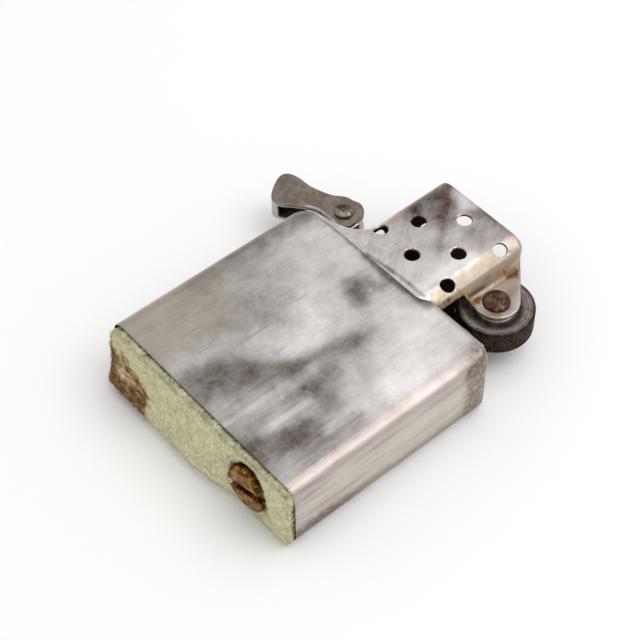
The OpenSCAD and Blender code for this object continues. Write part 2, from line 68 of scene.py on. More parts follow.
# %% Read the main sizes
def node_box(name):
    """The lowest and highest corner of a CAD node, in millimetres."""
    low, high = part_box(name)
    return np.array(low) / MM, np.array(high) / MM


shell_low, shell_high = node_box("tank_shell")
half_w, deck_y, thick = shell_high
open_y = shell_low[1]
mid_z = thick / 2
screen_top = node_box("windscreen")[1][1]
axle = sum(node_box("wheel_rivet")) / 2
pivot = sum(node_box("cam_rivet")) / 2
screw_low, screw_high = node_box("flint_screw")
screw_x = (screw_low[0] + screw_high[0]) / 2
print("tank", 2 * half_w, thick, "deck", deck_y, "axle", axle.round(2), "pivot", pivot.round(2))

# %% [markdown]
# ## Meshes from arrays
# A surface is a grid of points worked out by numpy in one go. These helpers turn such a grid
# into a mesh, so that every piece below only has to say its formula.


# %% Mesh helpers
def add_to_scene(name, data):
    """An object in the scene, from its mesh, its lamp or its camera."""
    obj = bpy.data.objects.new(name, data)
    bpy.context.scene.collection.objects.link(obj)
    return obj


def make_object(name, points, faces, smooth=True):
    """A mesh object at the origin, from points in millimetres and a list or array of faces."""
    mesh = bpy.data.meshes.new(name)
    points = np.asarray(points, float).reshape(-1, 3) * MM
    mesh.from_pydata(points.tolist(), [], [list(f) for f in faces])
    mesh.update()
    mesh.validate()
    mesh.polygons.foreach_set("use_smooth", [smooth] * len(mesh.polygons))
    return add_to_scene(name, mesh)


def grid_faces(rows, cols, wrap_rows=False, wrap_cols=False):
    """Quads over a rows x cols grid of points, closed in either direction if asked."""
    i = np.arange(rows if wrap_rows else rows - 1)[:, None]
    j = np.arange(cols if wrap_cols else cols - 1)[None, :]
    i1, j1 = (i + 1) % rows, (j + 1) % cols
    quads = np.stack([i * cols + j, i * cols + j1, i1 * cols + j1, i1 * cols + j], -1)
    return quads.reshape(-1, 4).tolist()


def tube_faces(rows, cols):
    """A closed tube: quads round a grid of points, and one face at each end."""
    ends = [list(range(cols)), list(range(cols * rows - cols, cols * rows))]
    return grid_faces(rows, cols, wrap_cols=True) + ends


def face_out(obj):
    """Merges doubles and turns every face outwards."""
    bm = bmesh.new()
    bm.from_mesh(obj.data)
    bmesh.ops.remove_doubles(bm, verts=bm.verts, dist=1e-7)
    bmesh.ops.recalc_face_normals(bm, faces=bm.faces)
    bm.to_mesh(obj.data)
    bm.free()
    return obj


def sharp(obj, degrees):
    """Keeps the edges crisp where two faces meet at more than an angle."""
    obj.data.set_sharp_from_angle(angle=math.radians(degrees))
    return obj


def read(rows, what, width):
    """What every vertex or mark of a mesh holds, as one row each."""
    values = np.empty(len(rows) * width)
    rows.foreach_get(what, values)
    return values.reshape(-1, width)


def points_of(obj):
    """A piece's points, in millimetres."""
    return read(obj.data.vertices, "co", 3) / MM


def move_points(obj, points):
    """Puts a piece's points elsewhere, in millimetres."""
    obj.data.vertices.foreach_set("co", (np.asarray(points) * MM).ravel())
    obj.data.update()
    return obj


def paint(obj, **marks):
    """Stores numbers between 0 and 1 on a piece's points, for its finish to read."""
    for name, values in marks.items():
        layer = obj.data.attributes.get(name) or obj.data.attributes.new(name, "FLOAT", "POINT")
        values = np.broadcast_to(values, len(obj.data.vertices))
        layer.data.foreach_set("value", np.clip(values, 0, 1).astype(float))
    return obj


def inside_of(obj):
    """The mark of a sheet's inner face, or zeros."""
    layer = obj.data.attributes.get("inside")
    return read(layer.data, "value", 1)[:, 0] if layer else np.zeros(len(obj.data.vertices))


def join(name, *objs):
    """One object out of several, with the mark of their inner faces."""
    points, faces, inside, start = [], [], [], 0
    for obj in objs:
        points.append(points_of(obj))
        inside.append(inside_of(obj))
        faces += [[start + v for v in poly.vertices] for poly in obj.data.polygons]
        start += len(points[-1])
        bpy.data.objects.remove(obj)
    return paint(make_object(name, np.concatenate(points), faces), inside=np.concatenate(inside))


# %% [markdown]
# ## Formulas that come back
# A few short formulas shape everything here: a smooth step, a bell, points on a circle, unit
# vectors, and a soft noise made of sine waves, which is the same each time for the same seed.


# %% Formulas
def ease(t):
    """A smooth step from 0 to 1: t*t*(3 - 2*t), held outside."""
    t = np.clip(t, 0, 1)
    return t * t * (3 - 2 * t)


def bell(value, middle, width):
    """exp(-((value - middle) / width)^2)."""
    return np.exp(-(((value - middle) / width) ** 2))


def unit(vectors):
    """Vectors made 1 long."""
    return vectors / np.maximum(np.linalg.norm(vectors, axis=-1, keepdims=True), 1e-12)


def full_turn(steps):
    """Even angles once round, in radians."""
    return np.arange(steps) * 2 * np.pi / steps


def around(x, y, r, turn):
    """Points at a distance from a place, at angles in radians."""
    return np.stack([x + r * np.cos(turn), y + r * np.sin(turn)], -1)


def arc(x, y, r, start, end, count=28):
    """Points on an arc about a place, from one angle to another in degrees."""
    return around(x, y, r, np.radians(np.linspace(start, end, count)))


def smooth_noise(points, size, seed):
    """Soft noise between about -1 and 1: a sum of sine waves in seeded directions, in mm."""
    rng = np.random.default_rng(seed)
    points = np.asarray(points, float)
    total = np.zeros(points.shape[:-1])
    for octave in range(3):
        for _ in range(5):
            way = rng.normal(size=points.shape[-1])
            way *= 2 * np.pi * 2**octave / (size * np.linalg.norm(way))
            total += 0.6**octave * np.sin(points @ way + rng.uniform(0, 2 * np.pi))
    return total / (5**0.5 * 1.6)


# %% [markdown]
# ## Camera
# The photograph was taken from above the near right corner with a longer lens. A camera
# fitted to the tank's corners gives the angles, the distance and the lens used here.

# %% Place the camera
VIEW_AZIMUTH = 49.152
VIEW_ELEVATION = 50.188
VIEW_PLACE = (2.226, 8.832, 215.488)
LENS_PIXELS = 1659.776
PHOTO_PIXELS = 640
SENSOR = 36


def look_from(obj, azimuth, elevation, place):
    """Puts a camera or a lamp at (across, up, away) in mm, turned to look from a direction."""
    a, e = math.radians(azimuth), math.radians(elevation)
    away = np.array([math.sin(a) * math.cos(e), -math.cos(a) * math.cos(e), math.sin(e)])
    across = np.array([math.cos(a), math.sin(a), 0])
    axes = np.stack([across, np.cross(away, across), away], 1)
    place = axes @ np.array(place) * MM
    obj.matrix_world = Matrix.Translation(place.tolist()) @ Matrix(axes.tolist()).to_4x4()


data = bpy.data.cameras.new("camera")
data.sensor_width = SENSOR
data.lens = LENS_PIXELS / PHOTO_PIXELS * SENSOR
data.clip_start, data.clip_end = 0.001, 10
camera = add_to_scene("camera", data)
look_from(camera, VIEW_AZIMUTH, VIEW_ELEVATION, VIEW_PLACE)
bpy.context.scene.camera = camera
print("lens", round(data.lens, 1), "mm, camera", np.round(camera.matrix_world.translation, 4))

# %% [markdown]
# ## Materials as small graphs
# Old plated steel is never one colour. Each finish is mixed from a few patterns that read
# Object coordinates in millimetres: clouds of tarnish, streaks along the drawing direction,
# and scratches. One helper class keeps the node wiring short.


# %% Node helpers
class Graph:
    """Adds nodes to a node tree, one per call."""

    def __init__(self, tree):
        self.tree = tree

    def feed(self, inputs, values):
        """Links or sets inputs. A plain colour gets its fourth number here."""
        for name, value in values.items():
            socket = inputs[name]
            if isinstance(value, bpy.types.NodeSocket):
                self.tree.links.new(value, socket)
            else:
                socket.default_value = (*value, 1) if socket.type == "RGBA" else value

    def node(self, kind, values, output=0, **settings):
        """A node with its settings and inputs, and one of its outputs."""
        node = self.tree.nodes.new("ShaderNode" + kind)
        for name, value in settings.items():
            setattr(node, name, value)
        self.feed(node.inputs, values)
        return node.outputs[output]

    def math(self, what, a, b):
        return self.node("Math", {0: a, 1: b}, operation=what)


class Finish(Graph):
    """Builds a material on coordinates in millimetres."""

    def __init__(self, name):
        self.material = bpy.data.materials.new(name)
        self.material.use_nodes = True
        super().__init__(self.material.node_tree)
        self.shader = self.tree.nodes["Principled BSDF"]
        self.mm = self.place(self.node("TexCoord", {}, "Object"), scale=(1 / MM,) * 3)

    def place(self, vector, move=(0, 0, 0), turn=0, scale=(1, 1, 1)):
        values = {"Vector": vector, "Location": move, "Scale": scale}
        return self.node("Mapping", {**values, "Rotation": (0, 0, math.radians(turn))})

    def noise(self, size, detail=4, rough=0.55, warp=0, stretch=(1, 1, 1), turn=0):
        """Noise whose blotches are about size millimetres wide, turned about z and stretched."""
        turned = self.place(self.mm, turn=turn) if turn else self.mm
        values = {"Vector": self.place(turned, scale=stretch), "Scale": 1 / size}
        return self.node("TexNoise", {**values, "Detail": detail, "Roughness": rough,
                                      "Distortion": warp})

    def rings(self, centre, size):
        """Noise that depends only on the distance to an axis along Z through a centre."""
        flat = self.place(self.place(self.mm, move=(-centre[0], -centre[1], 0)), scale=(1, 1, 0))
        reach = self.node("VectorMath", {0: flat}, "Value", operation="LENGTH")
        values = {"W": reach, "Scale": 1 / size, "Detail": 2}
        return self.node("TexNoise", values, noise_dimensions="1D")

    def mark(self, name):
        """The numbers that paint stored on the piece."""
        return self.node("Attribute", {}, "Fac", attribute_name=name)

    def axis(self, letter):
        """One coordinate of the surface point, in millimetres."""
        return self.node("SeparateXYZ", {0: self.mm}, letter)

    def level(self, value, low, high):
        """0 below low, 1 above high, and smooth between."""
        values = {"Value": value, "From Min": low, "From Max": high}
        return self.node("MapRange", values, interpolation_type="SMOOTHSTEP")

    def times(self, a, b):
        return self.math("MULTIPLY", a, b)

    def plus(self, a, b):
        return self.math("ADD", a, b)

    def most(self, a, b):
        return self.math("MAXIMUM", a, b)

    def swing(self, value, middle, weight):
        """(value - middle) * weight."""
        return self.times(self.math("SUBTRACT", value, middle), weight)

    def total(self, *parts):
        """The sum of patterns, each with its weight."""
        products = [self.times(value, weight) for value, weight in parts]
        result = products[0]
        for product in products[1:]:
            result = self.plus(result, product)
        return result

    def mix(self, share, a, b):
        """Colour a where share is 0 and b where it is 1."""
        return self.node("Mix", {"Factor": share, "A": a, "B": b}, "Result", data_type="RGBA")

    def layers(self, colour, *coats):
        """Coats laid over a colour one after the other, each as (share, its colour)."""
        for share, coat in coats:
            colour = self.mix(share, colour, coat)
        return colour

    def blend(self, share, a, b):
        """Number a where share is 0 and b where it is 1."""
        return self.node("Mix", {"Factor": share, "A": a, "B": b}, "Result")

    def bump(self, height, depth, **under):
        """Relief of a depth in millimetres, over the relief given as Normal."""
        return self.node("Bump", {"Height": height, "Distance": depth * MM, **under})

    def done(self, colour, rough, normal, metallic=1.0):
        self.feed(self.shader.inputs, {"Base Color": colour, "Roughness": rough,
                                       "Metallic": metallic, "Normal": normal})
        return self.material


# %% [markdown]
# ## The tank's finish
# The shell is nickel-plated steel that has gone cloudy. The paint order is: the bright metal,
# dark clouds where the tarnish has settled, a warm tone at the lower left and along the narrow
# side, brass where the plating is thin, streaks along the tank's length from being slid in and
# out of its case, fine scratches, and grime.

# %% Shell finish
NICKEL_PALE = (0.95, 0.898, 0.888)
TARNISH_AND_SHADE = (0.1, 0.079, 0.061)
TAN = (0.55, 0.49, 0.405)
BRASSY = (0.38, 0.31, 0.272)
GRIME = (0.17, 0.12, 0.085)


def shell_finish():
    f = Finish("worn_nickel")
    x, y, grime = f.axis("X"), f.axis("Y"), f.mark("grime")
    cloud = f.noise(3.2, detail=7, rough=0.6, warp=0.6)
    grain = f.noise(0.5, detail=4, rough=0.7, stretch=(1, 0.6, 1))
    drift = f.total((cloud, 0.5), (grain, 0.35), (f.noise(0.16, detail=3, rough=0.8), 0.15))
    # The tarnish mark also carries one painted shade: a dark notch in the top edge beside the
    # wheel.
    dark = f.times(f.plus(f.mark("tarnish"), f.swing(drift, 0.5, 0.7)), 1.3)
    warm = f.times(f.level(x, -3, -12), f.level(y, 4, -9))
    side = f.level(x, half_w - 0.9, half_w - 0.2)
    streaks = f.noise(0.8, detail=6, rough=0.65, stretch=(1, 0.07, 1))
    lower = f.times(f.level(x, 0, 3), f.level(y, -1, -6))
    lines = f.times(f.level(streaks, 0.46, 0.68), f.blend(lower, 0.14, 0.5))
    scratch = f.level(f.noise(0.3, detail=2, stretch=(1, 0.04, 1)), 0.64, 0.7)
    dense = f.plus(f.noise(0.7, detail=6, rough=0.8), f.times(grime, 0.12))
    film = f.times(grime, f.level(dense, 0.4, 0.68))
    colour = f.layers(
        NICKEL_PALE, (dark, TARNISH_AND_SHADE), (f.times(f.most(warm, side), 0.68), TAN),
        (f.times(f.mark("brass"), 0.9), BRASSY), (f.times(lines, 0.6), TARNISH_AND_SHADE),
        (f.times(scratch, 0.25), TARNISH_AND_SHADE),
        (f.times(f.most(f.level(dense, 0.63, 0.74), film), 0.85), GRIME))
    relief = f.bump(streaks, 0.006, Normal=f.bump(f.noise(0.5, detail=3), 0.005))
    return f.done(colour, f.blend(dark, 0.34, 0.38), relief)


# %% [markdown]
# ## The other metals
# The windscreen has been heated by the flame, so it carries brown and violet tints near its
# top and a brassy one on its open side, a painted highlight beside the open bend and painted
# shade in the joggle at the ear's root. The wheel is hardened dark steel full of flint dust.

# %% Metal finishes
SCREEN_PALE, SMOKE_AND_SHADE = (0.81, 0.755, 0.735), (0.08, 0.048, 0.029)
PAINTED_HIGHLIGHT, SCREEN_BRASS = (1.0, 0.98, 0.96), (0.48, 0.355, 0.23)
RUST_FILM, RUST_SPOT = (0.2, 0.115, 0.045), (0.13, 0.062, 0.03)
SOOT = (0.008, 0.006, 0.005)
CAM_DARK, CAM_LIGHT = (0.2, 0.162, 0.128), (0.3, 0.25, 0.212)
CAM_SIDE_HIGHLIGHT_DARK, CAM_SIDE_HIGHLIGHT_LIGHT = (0.3, 0.28, 0.26), (0.66, 0.64, 0.6)
CAM_TOP = node_box("cam")[1][2]
WHEEL_DARK, WHEEL_LIGHT = (0.1, 0.082, 0.078), (0.21, 0.155, 0.13)
WHEEL_RINGS, TOOTH_TIP = (0.42, 0.375, 0.35), (0.3, 0.23, 0.19)
RIM_DARK, RIM_LIGHT = (0.017, 0.011, 0.007), (0.07, 0.04, 0.026)


def screen_finish():
    f = Finish("heat_tinted_steel")
    inside, rust = f.mark("inside"), f.mark("rust")
    cloud = f.noise(2.4, detail=6, rough=0.65, warp=0.8, stretch=(1, 0.7, 1))
    grain = f.noise(0.5, detail=4, rough=0.7)
    rub = f.noise(0.9, detail=6, rough=0.65, stretch=(1, 0.12, 1), turn=-38)
    drift = f.plus(f.total((cloud, 0.8), (grain, 0.35)), f.swing(rub, 0.5, 0.7))
    # Heat tint, together with painted shade: a shadow line in the joggle at the ear's root and a
    # dark notch at the apron's corner.
    smoke_and_shade = f.plus(f.times(f.mark("smoke_and_shade"), 0.84), f.swing(drift, 0.35, 1.0))
    smoke_and_shade = f.times(smoke_and_shade, 0.92)
    spots = f.plus(f.noise(0.9, detail=5, rough=0.7), f.times(rust, 0.4))
    # The coats: heat tint with painted shade, a painted highlight, brass, rust, rust spots and soot
    # inside.
    colour = f.layers(
        SCREEN_PALE, (smoke_and_shade, SMOKE_AND_SHADE), (f.mark("painted_highlight"), PAINTED_HIGHLIGHT), (f.mark("brass"), SCREEN_BRASS),
        (f.times(rust, 0.5), RUST_FILM), (f.level(spots, 0.6, 0.86), RUST_SPOT), (inside, SOOT))
    rough = f.blend(inside, f.blend(smoke_and_shade, 0.28, 0.4), 0.85)
    relief = f.bump(f.noise(0.8, detail=4, stretch=(0.2, 1, 1)), 0.008)
    metallic = f.math("SUBTRACT", 1.0, f.times(inside, 0.8))
    f.feed(f.shader.inputs, {"Specular IOR Level": 0.1})
    return f.done(colour, rough, relief, metallic)


def plain_metal(name, dark, light, rough, size=1.5, relief=0.01):
    """A metal whose two tones drift into each other."""
    f = Finish(name)
    drift = f.noise(size, detail=5, rough=0.65)
    colour = f.mix(f.level(drift, 0.38, 0.66), dark, light)
    return f.done(colour, f.blend(drift, rough, rough * 0.7), f.bump(drift, relief))


def cam_finish():
    """Grey-brown on its flat faces, with a painted highlight on its sides below the top face."""
    f = Finish("cam_steel")
    drift = f.noise(1.2, detail=5, rough=0.65)
    lines = f.noise(0.5, detail=4, stretch=(0.15, 0.15, 1))
    # On the cam's sides, below its top face, a painted highlight in streaky light tones.
    rim = f.level(f.axis("Z"), CAM_TOP - 0.1, CAM_TOP - 0.3)
    colour = f.layers(CAM_DARK, (f.level(drift, 0.38, 0.66), CAM_LIGHT),
                      (rim, f.mix(lines, CAM_SIDE_HIGHLIGHT_DARK, CAM_SIDE_HIGHLIGHT_LIGHT)))
    return f.done(colour, 0.36, f.bump(drift, 0.012))


def wheel_finish():
    f = Finish("flint_wheel_steel")
    drift = f.noise(1.3, detail=5, rough=0.7)
    fine = f.noise(0.25, detail=3)
    bright = f.level(f.plus(f.rings(axle, 0.16), f.times(fine, 0.45)), 0.56, 0.92)
    rim = f.mix(f.level(drift, 0.4, 0.7), RIM_DARK, RIM_LIGHT)
    colour = f.layers(
        WHEEL_DARK, (f.level(drift, 0.35, 0.65), WHEEL_LIGHT),
        (f.times(bright, f.level(drift, 0.3, 0.6)), WHEEL_RINGS), (f.mark("rim"), rim),
        (f.times(f.mark("tip"), f.level(fine, 0.35, 0.6)), TOOTH_TIP))
    return f.done(colour, 0.4, f.bump(drift, 0.02), metallic=0.9)


# %% [markdown]
# ## Felt, cotton and rayon
# The felt is yellowish wool, with painted shade where the marks put it and rust from the old
# case, which creeps along the fibres. The wick's cotton is charred at its tip.

# %% Soft finishes
FELT_DARK, FELT_LIGHT = (0.55, 0.52, 0.3), (0.84, 0.81, 0.56)
FELT_BLOTCH, FELT_PAINTED_SHADE = (0.47, 0.47, 0.24), (0.16, 0.15, 0.065)
FELT_RUST, FELT_RUST_DARK = (0.38, 0.2, 0.045), (0.1, 0.034, 0.008)
COTTON_DARK, COTTON_LIGHT, CHAR = (0.4, 0.36, 0.29), (0.72, 0.68, 0.58), (0.05, 0.045, 0.04)
RAYON_DARK, RAYON_LIGHT = (0.55, 0.52, 0.44), (0.84, 0.82, 0.75)


def felt_finish():
    f = Finish("pressed_felt")
    shade = f.mark("shade")
    fibre = f.noise(0.45, detail=6, rough=0.75, warp=0.5)
    blotch = f.level(f.noise(2.2, detail=4), 0.45, 0.7)
    # Painted shade from the shade mark, broken up by the fibres.
    painted_shade = f.most(f.times(shade, f.level(fibre, 0.7, 0.3)), f.times(shade, 0.6))
    drift = f.noise(0.5, detail=7, rough=0.8, stretch=(0.45, 1, 1))
    stain = f.plus(f.mark("rust"), f.swing(drift, 0.58, 3.0))
    colour = f.layers(
        FELT_DARK, (f.level(fibre, 0.34, 0.68), FELT_LIGHT), (f.times(blotch, 0.3), FELT_BLOTCH),
        (painted_shade, FELT_PAINTED_SHADE), (f.level(stain, -0.1, 0.75), FELT_RUST),
        (f.level(stain, 0.3, 1.1), FELT_RUST_DARK))
    return f.done(colour, 0.95, f.bump(fibre, 0.15), metallic=0.0)


def cotton_finish():
    f = Finish("wick_cotton")
    fibre = f.noise(0.4, detail=5, rough=0.7, stretch=(1, 0.3, 1))
    tip = f.level(f.axis("Y"), deck_y + 8, deck_y + 10.2)
    colour = f.layers(COTTON_DARK, (fibre, COTTON_LIGHT), (tip, CHAR))
    return f.done(colour, 0.9, f.bump(fibre, 0.1), metallic=0.0)


def rayon_finish():
    f = Finish("packing_rayon")
    fibre = f.noise(0.7, detail=6, rough=0.8, warp=1.0)
    return f.done(f.mix(fibre, RAYON_DARK, RAYON_LIGHT), 0.95, f.bump(fibre, 0.2), metallic=0.0)


NICKEL_SHELL = shell_finish()
SCREEN_STEEL = screen_finish()
WHEEL_STEEL = wheel_finish()
CAM_STEEL = cam_finish()
DECK_STEEL = plain_metal("dull_deck_steel", (0.33, 0.3, 0.28), (0.55, 0.52, 0.5), 0.45)
RIVET_STEEL = plain_metal("rusty_rivet", (0.06, 0.03, 0.02), (0.19, 0.105, 0.075), 0.55, 0.8, 0.05)
CAM_RIVET = plain_metal("cam_rivet_steel", (0.07, 0.05, 0.03), (0.36, 0.33, 0.27), 0.45, 0.9, 0.05)
SPRING_STEEL = plain_metal("spring_steel", (0.4, 0.37, 0.33), (0.62, 0.6, 0.56), 0.3)
TUBE_BRASS = plain_metal("dull_brass", (0.4, 0.3, 0.14), (0.62, 0.5, 0.27), 0.4)
SCREW_BRASS = plain_metal("brown_brass", (0.07, 0.03, 0.006), (0.46, 0.225, 0.05), 0.5, 1.0, 0.03)
FLINT_METAL = plain_metal("flint_metal", (0.1, 0.095, 0.09), (0.2, 0.19, 0.18), 0.7, 0.6, 0.04)
FELT = felt_finish()
WICK_COTTON = cotton_finish()
RAYON = rayon_finish()
print("finishes:", [material.name for material in bpy.data.materials])


def dress(obj, material, body, node):
    """Gives a piece its finish and its body, and hides the CAD node that it stands for."""
    obj.data.materials.clear()
    obj.data.materials.append(material)
    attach(obj, body)
    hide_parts(node)
    print(obj.name, len(obj.data.vertices), "points")
    return obj


# %% [markdown]
# ## The unit's outline
# Seen from the front, the unit is a tank with a round shoulder on the cam's side and a tighter
# corner on the wheel's side. Above the shoulder the drawn sheet rises a little and then flares
# up into the chimney. One guide line, made of two arcs and straight runs, holds the left side.

# %% Outline functions
EDGE_R = 2.2
SHOULDER_R = 3.2
CORNER_R = 2.0
TOP_EDGE_R = 0.7
SEAM_Y = deck_y - 1
SCREEN_LEFT = -9.0
SCREEN_RIGHT = 7.85
SCREEN_FRONT = thick - 0.1
SCREEN_MID = -1.1
FOOT_R = 3.8
FOOT_RISE = 0.5
OPEN_R = 3.3
CLOSED_R = 2.3
SHEET = 0.4


def left_line():
    """The guide line: tank's side, shoulder's arc, slope, foot's fillet, chimney's wall."""
    shoulder = arc(-half_w + SHOULDER_R, deck_y - SHOULDER_R, SHOULDER_R, 180, 100, 24)
    fillet = arc(SCREEN_LEFT - FOOT_R, deck_y + FOOT_RISE + FOOT_R, FOOT_R, -78, 0, 30)
    low, high = [[-half_w, open_y - 5]], [[SCREEN_LEFT, screen_top + 5]]
    return np.concatenate([low, shoulder, fillet, high])


GUIDE = left_line()
print("guide line", len(GUIDE), "places from", GUIDE[0].round(1), "to", GUIDE[-1].round(1))


def left_at(y):
    """The left side's x at a height."""
    return np.interp(y, GUIDE[:, 1], GUIDE[:, 0])


def depth_at(x, y, line):
    """Distance from points to a line of places: the least distance to any of its segments."""
    a, b = line[:-1], line[1:]
    p = np.stack([np.asarray(x, float), np.asarray(y, float)], -1)[..., None, :]
    along = np.sum((p - a) * (b - a), -1) / np.sum((b - a) ** 2, -1)
    foot = a + np.clip(along, 0, 1)[..., None] * (b - a)
    return np.min(np.linalg.norm(p - foot, axis=-1), -1)


def edge_drop(depth, r):
    """How far a face with rounded edges of radius r lies lower, at a depth inside its outline."""
    inside = np.clip(r - depth, 0, r)
    return r - np.sqrt(np.maximum(r**2 - inside**2, 0))


def shell_top(x):
    """The height of the shell's upper edge: at the seam, but at the deck beside the wheel."""
    return SEAM_Y + (deck_y - SEAM_Y) * ease((x - 4.4) / 2.4)


# %% [markdown]
# ## Sheet metal from a formula
# Every sheet here is a function that bends a flat pattern (u, v) into space. The pattern is
# triangulated with its holes left out, its outer face is bent by the function, and its inner
# face lies one wall thickness inside along the normals. Strips close the wall at every edge.


# %% Sheet builder
HOLE_STEPS = 36
COLLAR = 0.28
COLLAR_FREE = 0.45
INSIDE_HOLE = 0.985


def normals_of(surface, u, v, step=0.01):
    """Unit normals: the cross product of the surface's two slopes, from small steps."""
    du = surface(u + step, v) - surface(u - step, v)
    dv = surface(u, v + step) - surface(u, v - step)
    return unit(np.cross(du, dv))


def spread(*runs):
    """Numbers along a line, from (start, end, step) runs."""
    parts = [np.linspace(a, b, max(2, int(round(abs(b - a) / step)) + 1)) for a, b, step in runs]
    return np.unique(np.round(np.concatenate(parts), 6))


def lattice(columns, rows):
    """Every place (column, row)."""
    return np.stack(np.meshgrid(columns, rows), -1).reshape(-1, 2)


def cut_pattern(rim, holes, inner):
    """Places and triangles of a pattern: a rim loop, holes (u, v, radius) and inner places."""
    circle = full_turn(HOLE_STEPS)
    loops = [np.asarray(rim)] + [around(u, v, r, circle) for u, v, r in holes]
    collars = [around(u, v, r + COLLAR, circle) for u, v, r in holes]
    for u, v, r in holes:
        inner = inner[np.hypot(inner[:, 0] - u, inner[:, 1] - v) > r + COLLAR_FREE]
    places = [tuple(p) for p in np.concatenate(loops + collars + [inner]).tolist()]
    edges, start = [], 0
    for loop in loops:
        n = len(loop)
        edges += [(start + i, start + (i + 1) % n) for i in range(n)]
        start += n
    flat, _, tris, _, _, _ = delaunay_2d_cdt(places, edges, [list(range(len(rim)))], 1, 1e-6)
    flat, tris = np.array([tuple(p) for p in flat]), np.array(tris)
    middle = flat[tris].mean(1)
    keep = np.ones(len(tris), bool)
    for u, v, r in holes:
        keep &= np.hypot(middle[:, 0] - u, middle[:, 1] - v) > r * INSIDE_HOLE
    return flat, tris[keep]


def pierced_sheet(name, rim, holes, inner, surface, wall, lip=0.1):
    """A sheet with a wall: the cut pattern bent by a surface, with its edges rounded by a lip."""
    flat, tris = cut_pattern(rim, holes, inner)
    n = len(flat)
    outer = surface(flat[:, 0], flat[:, 1])
    normal = normals_of(surface, flat[:, 0], flat[:, 1])
    pairs = np.concatenate([tris[:, [0, 1]], tris[:, [1, 2]], tris[:, [2, 0]]])
    codes = pairs[:, 0] * n + pairs[:, 1]
    open_edge = ~np.isin(pairs[:, 1] * n + pairs[:, 0], codes)
    a, b = pairs[open_edge].T
    # Rim points move outwards in the sheet, so that the edge of the wall is rounded
    side = np.cross(outer[b] - outer[a], normal[a])
    out = np.zeros_like(outer)
    np.add.at(out, a, side)
    np.add.at(out, b, side)
    on_rim = np.zeros((n, 1), bool)
    on_rim[a] = True
    out = unit(out) * on_rim
    # Six layers, as (width outwards, depth): three round the outer edge and three the inner one
    layers = [(-lip, 0), (-lip * 0.3, lip * 0.3), (0, lip), (0, wall - lip),
              (-lip * 0.3, wall - lip * 0.3), (-lip, wall)]
    points = np.concatenate([outer + out * width - normal * depth for width, depth in layers])
    faces = [tris, tris[:, ::-1] + 5 * n]
    for k in range(0, 5 * n, n):
        faces.append(np.stack([a + k, a + k + n, b + k + n], 1))
        faces.append(np.stack([a + k, b + k + n, b + k], 1))
    faces = np.concatenate(faces)
    used = np.unique(faces)
    place = np.zeros(6 * n, int)
    place[used] = np.arange(len(used))
    obj = sharp(make_object(name, points[used], place[faces]), 50)
    return paint(obj, inside=(used // n >= 4).astype(float))


# %% [markdown]
# ## The tank's shell
# The real shell is drawn from sheet, so its edges are soft and its broad faces are very
# slightly swollen. Its pattern runs once round the section and up the tank. Near every side
# the face drops by the rounding's arc, at a depth measured square to the outline.


# %% Build the shell
SHELL_LIP = 0.06
SHELL_WALL = 0.45


def tank_half(t, y):
    """The front half of the section at a height: side wall, round edge, face, edge, side wall.

    t runs from -2 (right side, middle) over -1 and 1 (where the walls meet the rounding)
    to 2 (left side, middle)."""
    left = left_at(np.minimum(y, deck_y - 0.02))
    over = np.clip(y - (deck_y - CORNER_R), 0, CORNER_R)
    right = half_w - CORNER_R + np.sqrt(np.maximum(CORNER_R**2 - over**2, 0))
    bend = np.sin(np.clip(t, -1, 1) * np.pi / 2)
    x = (left + right) / 2 - bend * (right - left) / 2
    cx, cy = half_w - CORNER_R, deck_y - CORNER_R
    # At the right corner the edge's radius goes over from the side's to the top's
    angle = np.arctan2(np.maximum(y - cy, 0), np.maximum(x - cx, 1e-9))
    edge_r = EDGE_R + (TOP_EDGE_R - EDGE_R) * ease(angle / (np.pi / 2))
    in_corner = edge_drop(np.maximum(CORNER_R - np.hypot(x - cx, y - cy), 0), edge_r)
    roll = edge_drop(np.maximum(deck_y - y, 0), TOP_EDGE_R) * ease((x - 5.2) / 1.5)
    straight = np.maximum(edge_drop(half_w - x, EDGE_R), roll)
    drop = np.where((x > cx) & (y > cy), in_corner, straight)
    z = thick - np.maximum(edge_drop(depth_at(x, y, GUIDE), EDGE_R), drop)
    wall = np.clip(np.abs(t) - 1, 0, 1)
    z = z - wall * (z - mid_z)
    share = np.clip((y - open_y) / (deck_y - open_y), 0, 1)
    swell = 0.06 * np.cos(np.clip(x / half_w, -1, 1) * np.pi / 2) * np.sin(np.pi * share)
    return np.stack([x, y + 0 * x, z + swell * (wall == 0)], -1)


def build_shell():
    bends = spread((-1, -0.7, 0.02), (-0.7, 0.7, 0.02), (0.7, 1, 0.02))
    t = np.concatenate([[-2, -1.66, -1.33], bends, [1.33, 1.66, 2]])
    rows = spread((0, 0.06, 0.015), (0.06, 0.84, 0.02), (0.84, 1, 0.01))
    tops = shell_top(tank_half(t, 0 * t)[:, 0])
    y = (open_y + SHELL_LIP) + (tops - open_y - 2 * SHELL_LIP)[None, :] * rows[:, None]
    t = np.broadcast_to(t, y.shape)
    body = tank_half(t, y)
    up = tank_half(t, y + 0.01) - tank_half(t, y - 0.01)
    n = unit(np.cross(up, tank_half(t + 1e-3, y) - tank_half(t - 1e-3, y)))

    def rolled(row, way, degrees):
        """The first or the last row, rolled over the edge of the wall by an angle."""
        a = math.radians(degrees)
        rise = [0, way * SHELL_LIP * math.sin(a), 0]
        return [body[row] + rise - n[row] * SHELL_LIP * (1 - math.cos(a))]

    inner = body[::-4] - n[::-4] * SHELL_WALL
    half = np.concatenate([rolled(0, -1, 90), rolled(0, -1, 45), body,
                           rolled(-1, 1, 45), rolled(-1, 1, 90), inner])
    back = half[:, ::-1][:, 1:-1].copy()
    back[..., 2] = thick - back[..., 2]
    loop = np.concatenate([half, back], 1)
    shell = make_object("shell", loop, grid_faces(*loop.shape[:2], True, True))
    return sharp(face_out(shell), 55)


